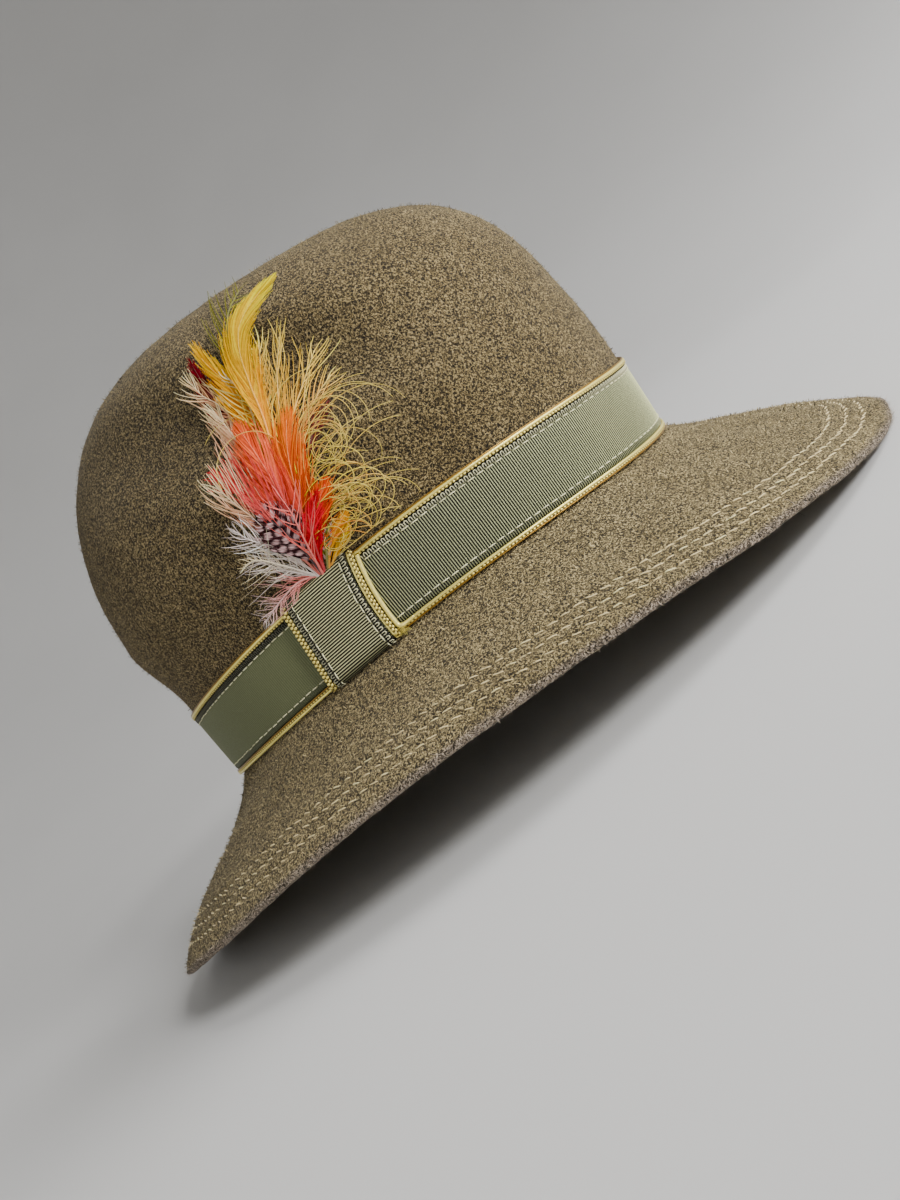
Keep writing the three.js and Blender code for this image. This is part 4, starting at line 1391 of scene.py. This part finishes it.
def barbs(row, kind, line, rng):
    """Both sides of a feather's vane, barb by barb."""
    count = 2 * row["barbs"]
    side = np.where(np.arange(count) % 2 == 0, 1, -1)
    grown = (np.arange(count) + rng.random(count)) / count
    place = blend(row["from"], 1, grown)
    whole = run_along(line)[-1]
    steps = np.linspace(0, 1, kind["steps"])
    tuft = np.floor(place * whole / TUFT_LENGTH).astype(int) * 2 + (side > 0)
    tuft_shift = rng.normal(size=tuft.max() + 1)[tuft]
    fullness = np.minimum(1, BARB["start"] + BARB["filling"] * grown)
    fullness = fullness * (1 - grown ** kind["blunt"]) + BARB["left"]
    uneven = 1 + kind["tufts"] * tuft_shift + kind["stray"] * rng.normal(size=count)
    reach = row["sweep"] * (1 - BARB["shortening"] * grown ** 2)
    reach = reach * rng.uniform(*BARB["lengths"], count)
    vane = np.atleast_1d(row["vane"])
    half_width = np.interp(grown, np.linspace(0, 1, len(vane)), vane)
    bow = 1 - (1 - steps) ** BARB["bow"]
    across = (side * half_width * fullness * uneven)[:, None] * bow
    sway = kind["stray"] * half_width[:, None] * rng.normal(size=(count, 1)) * steps ** 2
    run = reach[:, None] * steps
    if kind["closed"]:
        base, ahead = quill_at(line, place[:, None] + run / whole)
    else:
        root, ahead = quill_at(line, place[:, None])
        base = root + ahead * run[..., None]
    sideways = np.stack([-ahead[..., 1], ahead[..., 0], 0 * ahead[..., 0]], axis=-1)
    chart = base + unit(sideways) * (across + sway)[..., None]
    lift = kind["lift"] * rng.normal(0, BARB["lift"], (count, 1)) - BARB["droop"]
    chart[..., 2] += lift * steps
    centre, normal = on_crown(chart)
    lean = rng.normal(0, BARB["lean"], (count, 1, 3))
    breadth = unit(np.cross(np.gradient(centre, axis=1), normal + lean))
    taper = 1 - BARB["narrowing"] * steps ** BARB["narrowing_bend"]
    widths = kind["width"] * taper * rng.uniform(*BARB["widths"], count)[:, None]
    along = np.clip(grown[:, None] * TONE_RUN["quill"] + TONE_RUN["barb"] * steps, 0, 1)
    tone = blend(row["foot"], row["tip"], along[..., None])
    if row["kind"] == "spotted":
        jitter = rng.normal(0, SPOT["waver"], (count, 1))
        tone = spots(place[:, None] * whole + run + jitter, across, tone)
    shade = (1 + TONE_RUN["tuft"] * tuft_shift) * rng.uniform(*kind["shade"], count)
    shade = np.clip(shade, DEEPEST_SHADE, LIGHTEST_SHADE)[:, None, None]
    tone = tone ** (1 / shade ** TONE_RUN["depth"]) * shade
    return strip_bundle(centre, breadth, widths, tone)


def curls(rng):
    """Long thin strands that loop forwards out of the spray."""
    count = CURLS["count"]
    share = rng.random(count)
    ahead, up, heading = (
        (blend(first, last, share) + rng.normal(0, scatter, count))[:, None]
        for first, last, scatter in (CURLS["ahead"], CURLS["up"], CURLS["heading"])
    )
    turning = np.radians(-rng.uniform(*CURLS["turning"], count))
    turning = np.where(rng.random(count) < CURLS["backwards"],
                       -CURLS["backwards_turning"] * turning, turning)
    length = rng.uniform(*CURLS["length"], count)[:, None]
    steps = np.linspace(0, 1, CURLS["points"])
    bend = turning[:, None] * length * steps * blend(*CURLS["bend"], steps)
    turned = np.radians(heading) + bend
    stride = length * np.diff(steps, prepend=0)
    ahead = ahead + np.cumsum(np.cos(turned) * stride, axis=1)
    up = np.maximum(up + np.cumsum(np.sin(turned) * stride, axis=1), CURLS["lowest"])
    out = rng.uniform(*CURLS["out"], count)[:, None]
    out = out + rng.uniform(*CURLS["change"], count)[:, None] * steps
    centre, normal = on_crown(np.stack([ahead, up, out], axis=-1))
    root_tone = np.where(rng.random((count, 1, 1)) < 0.5, ORANGE, YELLOW)
    tone = blend(STRAW, root_tone, (1 - steps[:, None]) ** 2)
    tone = tone * rng.uniform(*CURLS["shades"], (count, 1, 1))
    return tube_bundle(centre, normal, CURLS["radius"] * blend(1, CURLS["tip"], steps), 4, tone)


def feather_spray():
    rng = np.random.default_rng(SPRAY_SEED)
    parts = [feather(dict(zip(FEATHER_COLUMNS, row)), rng) for row in FEATHERS.values()]
    return joined([*parts, curls(rng)])


add_piece("feathers", feather_spray(), PLUMAGE, "feather", "feather_spray")
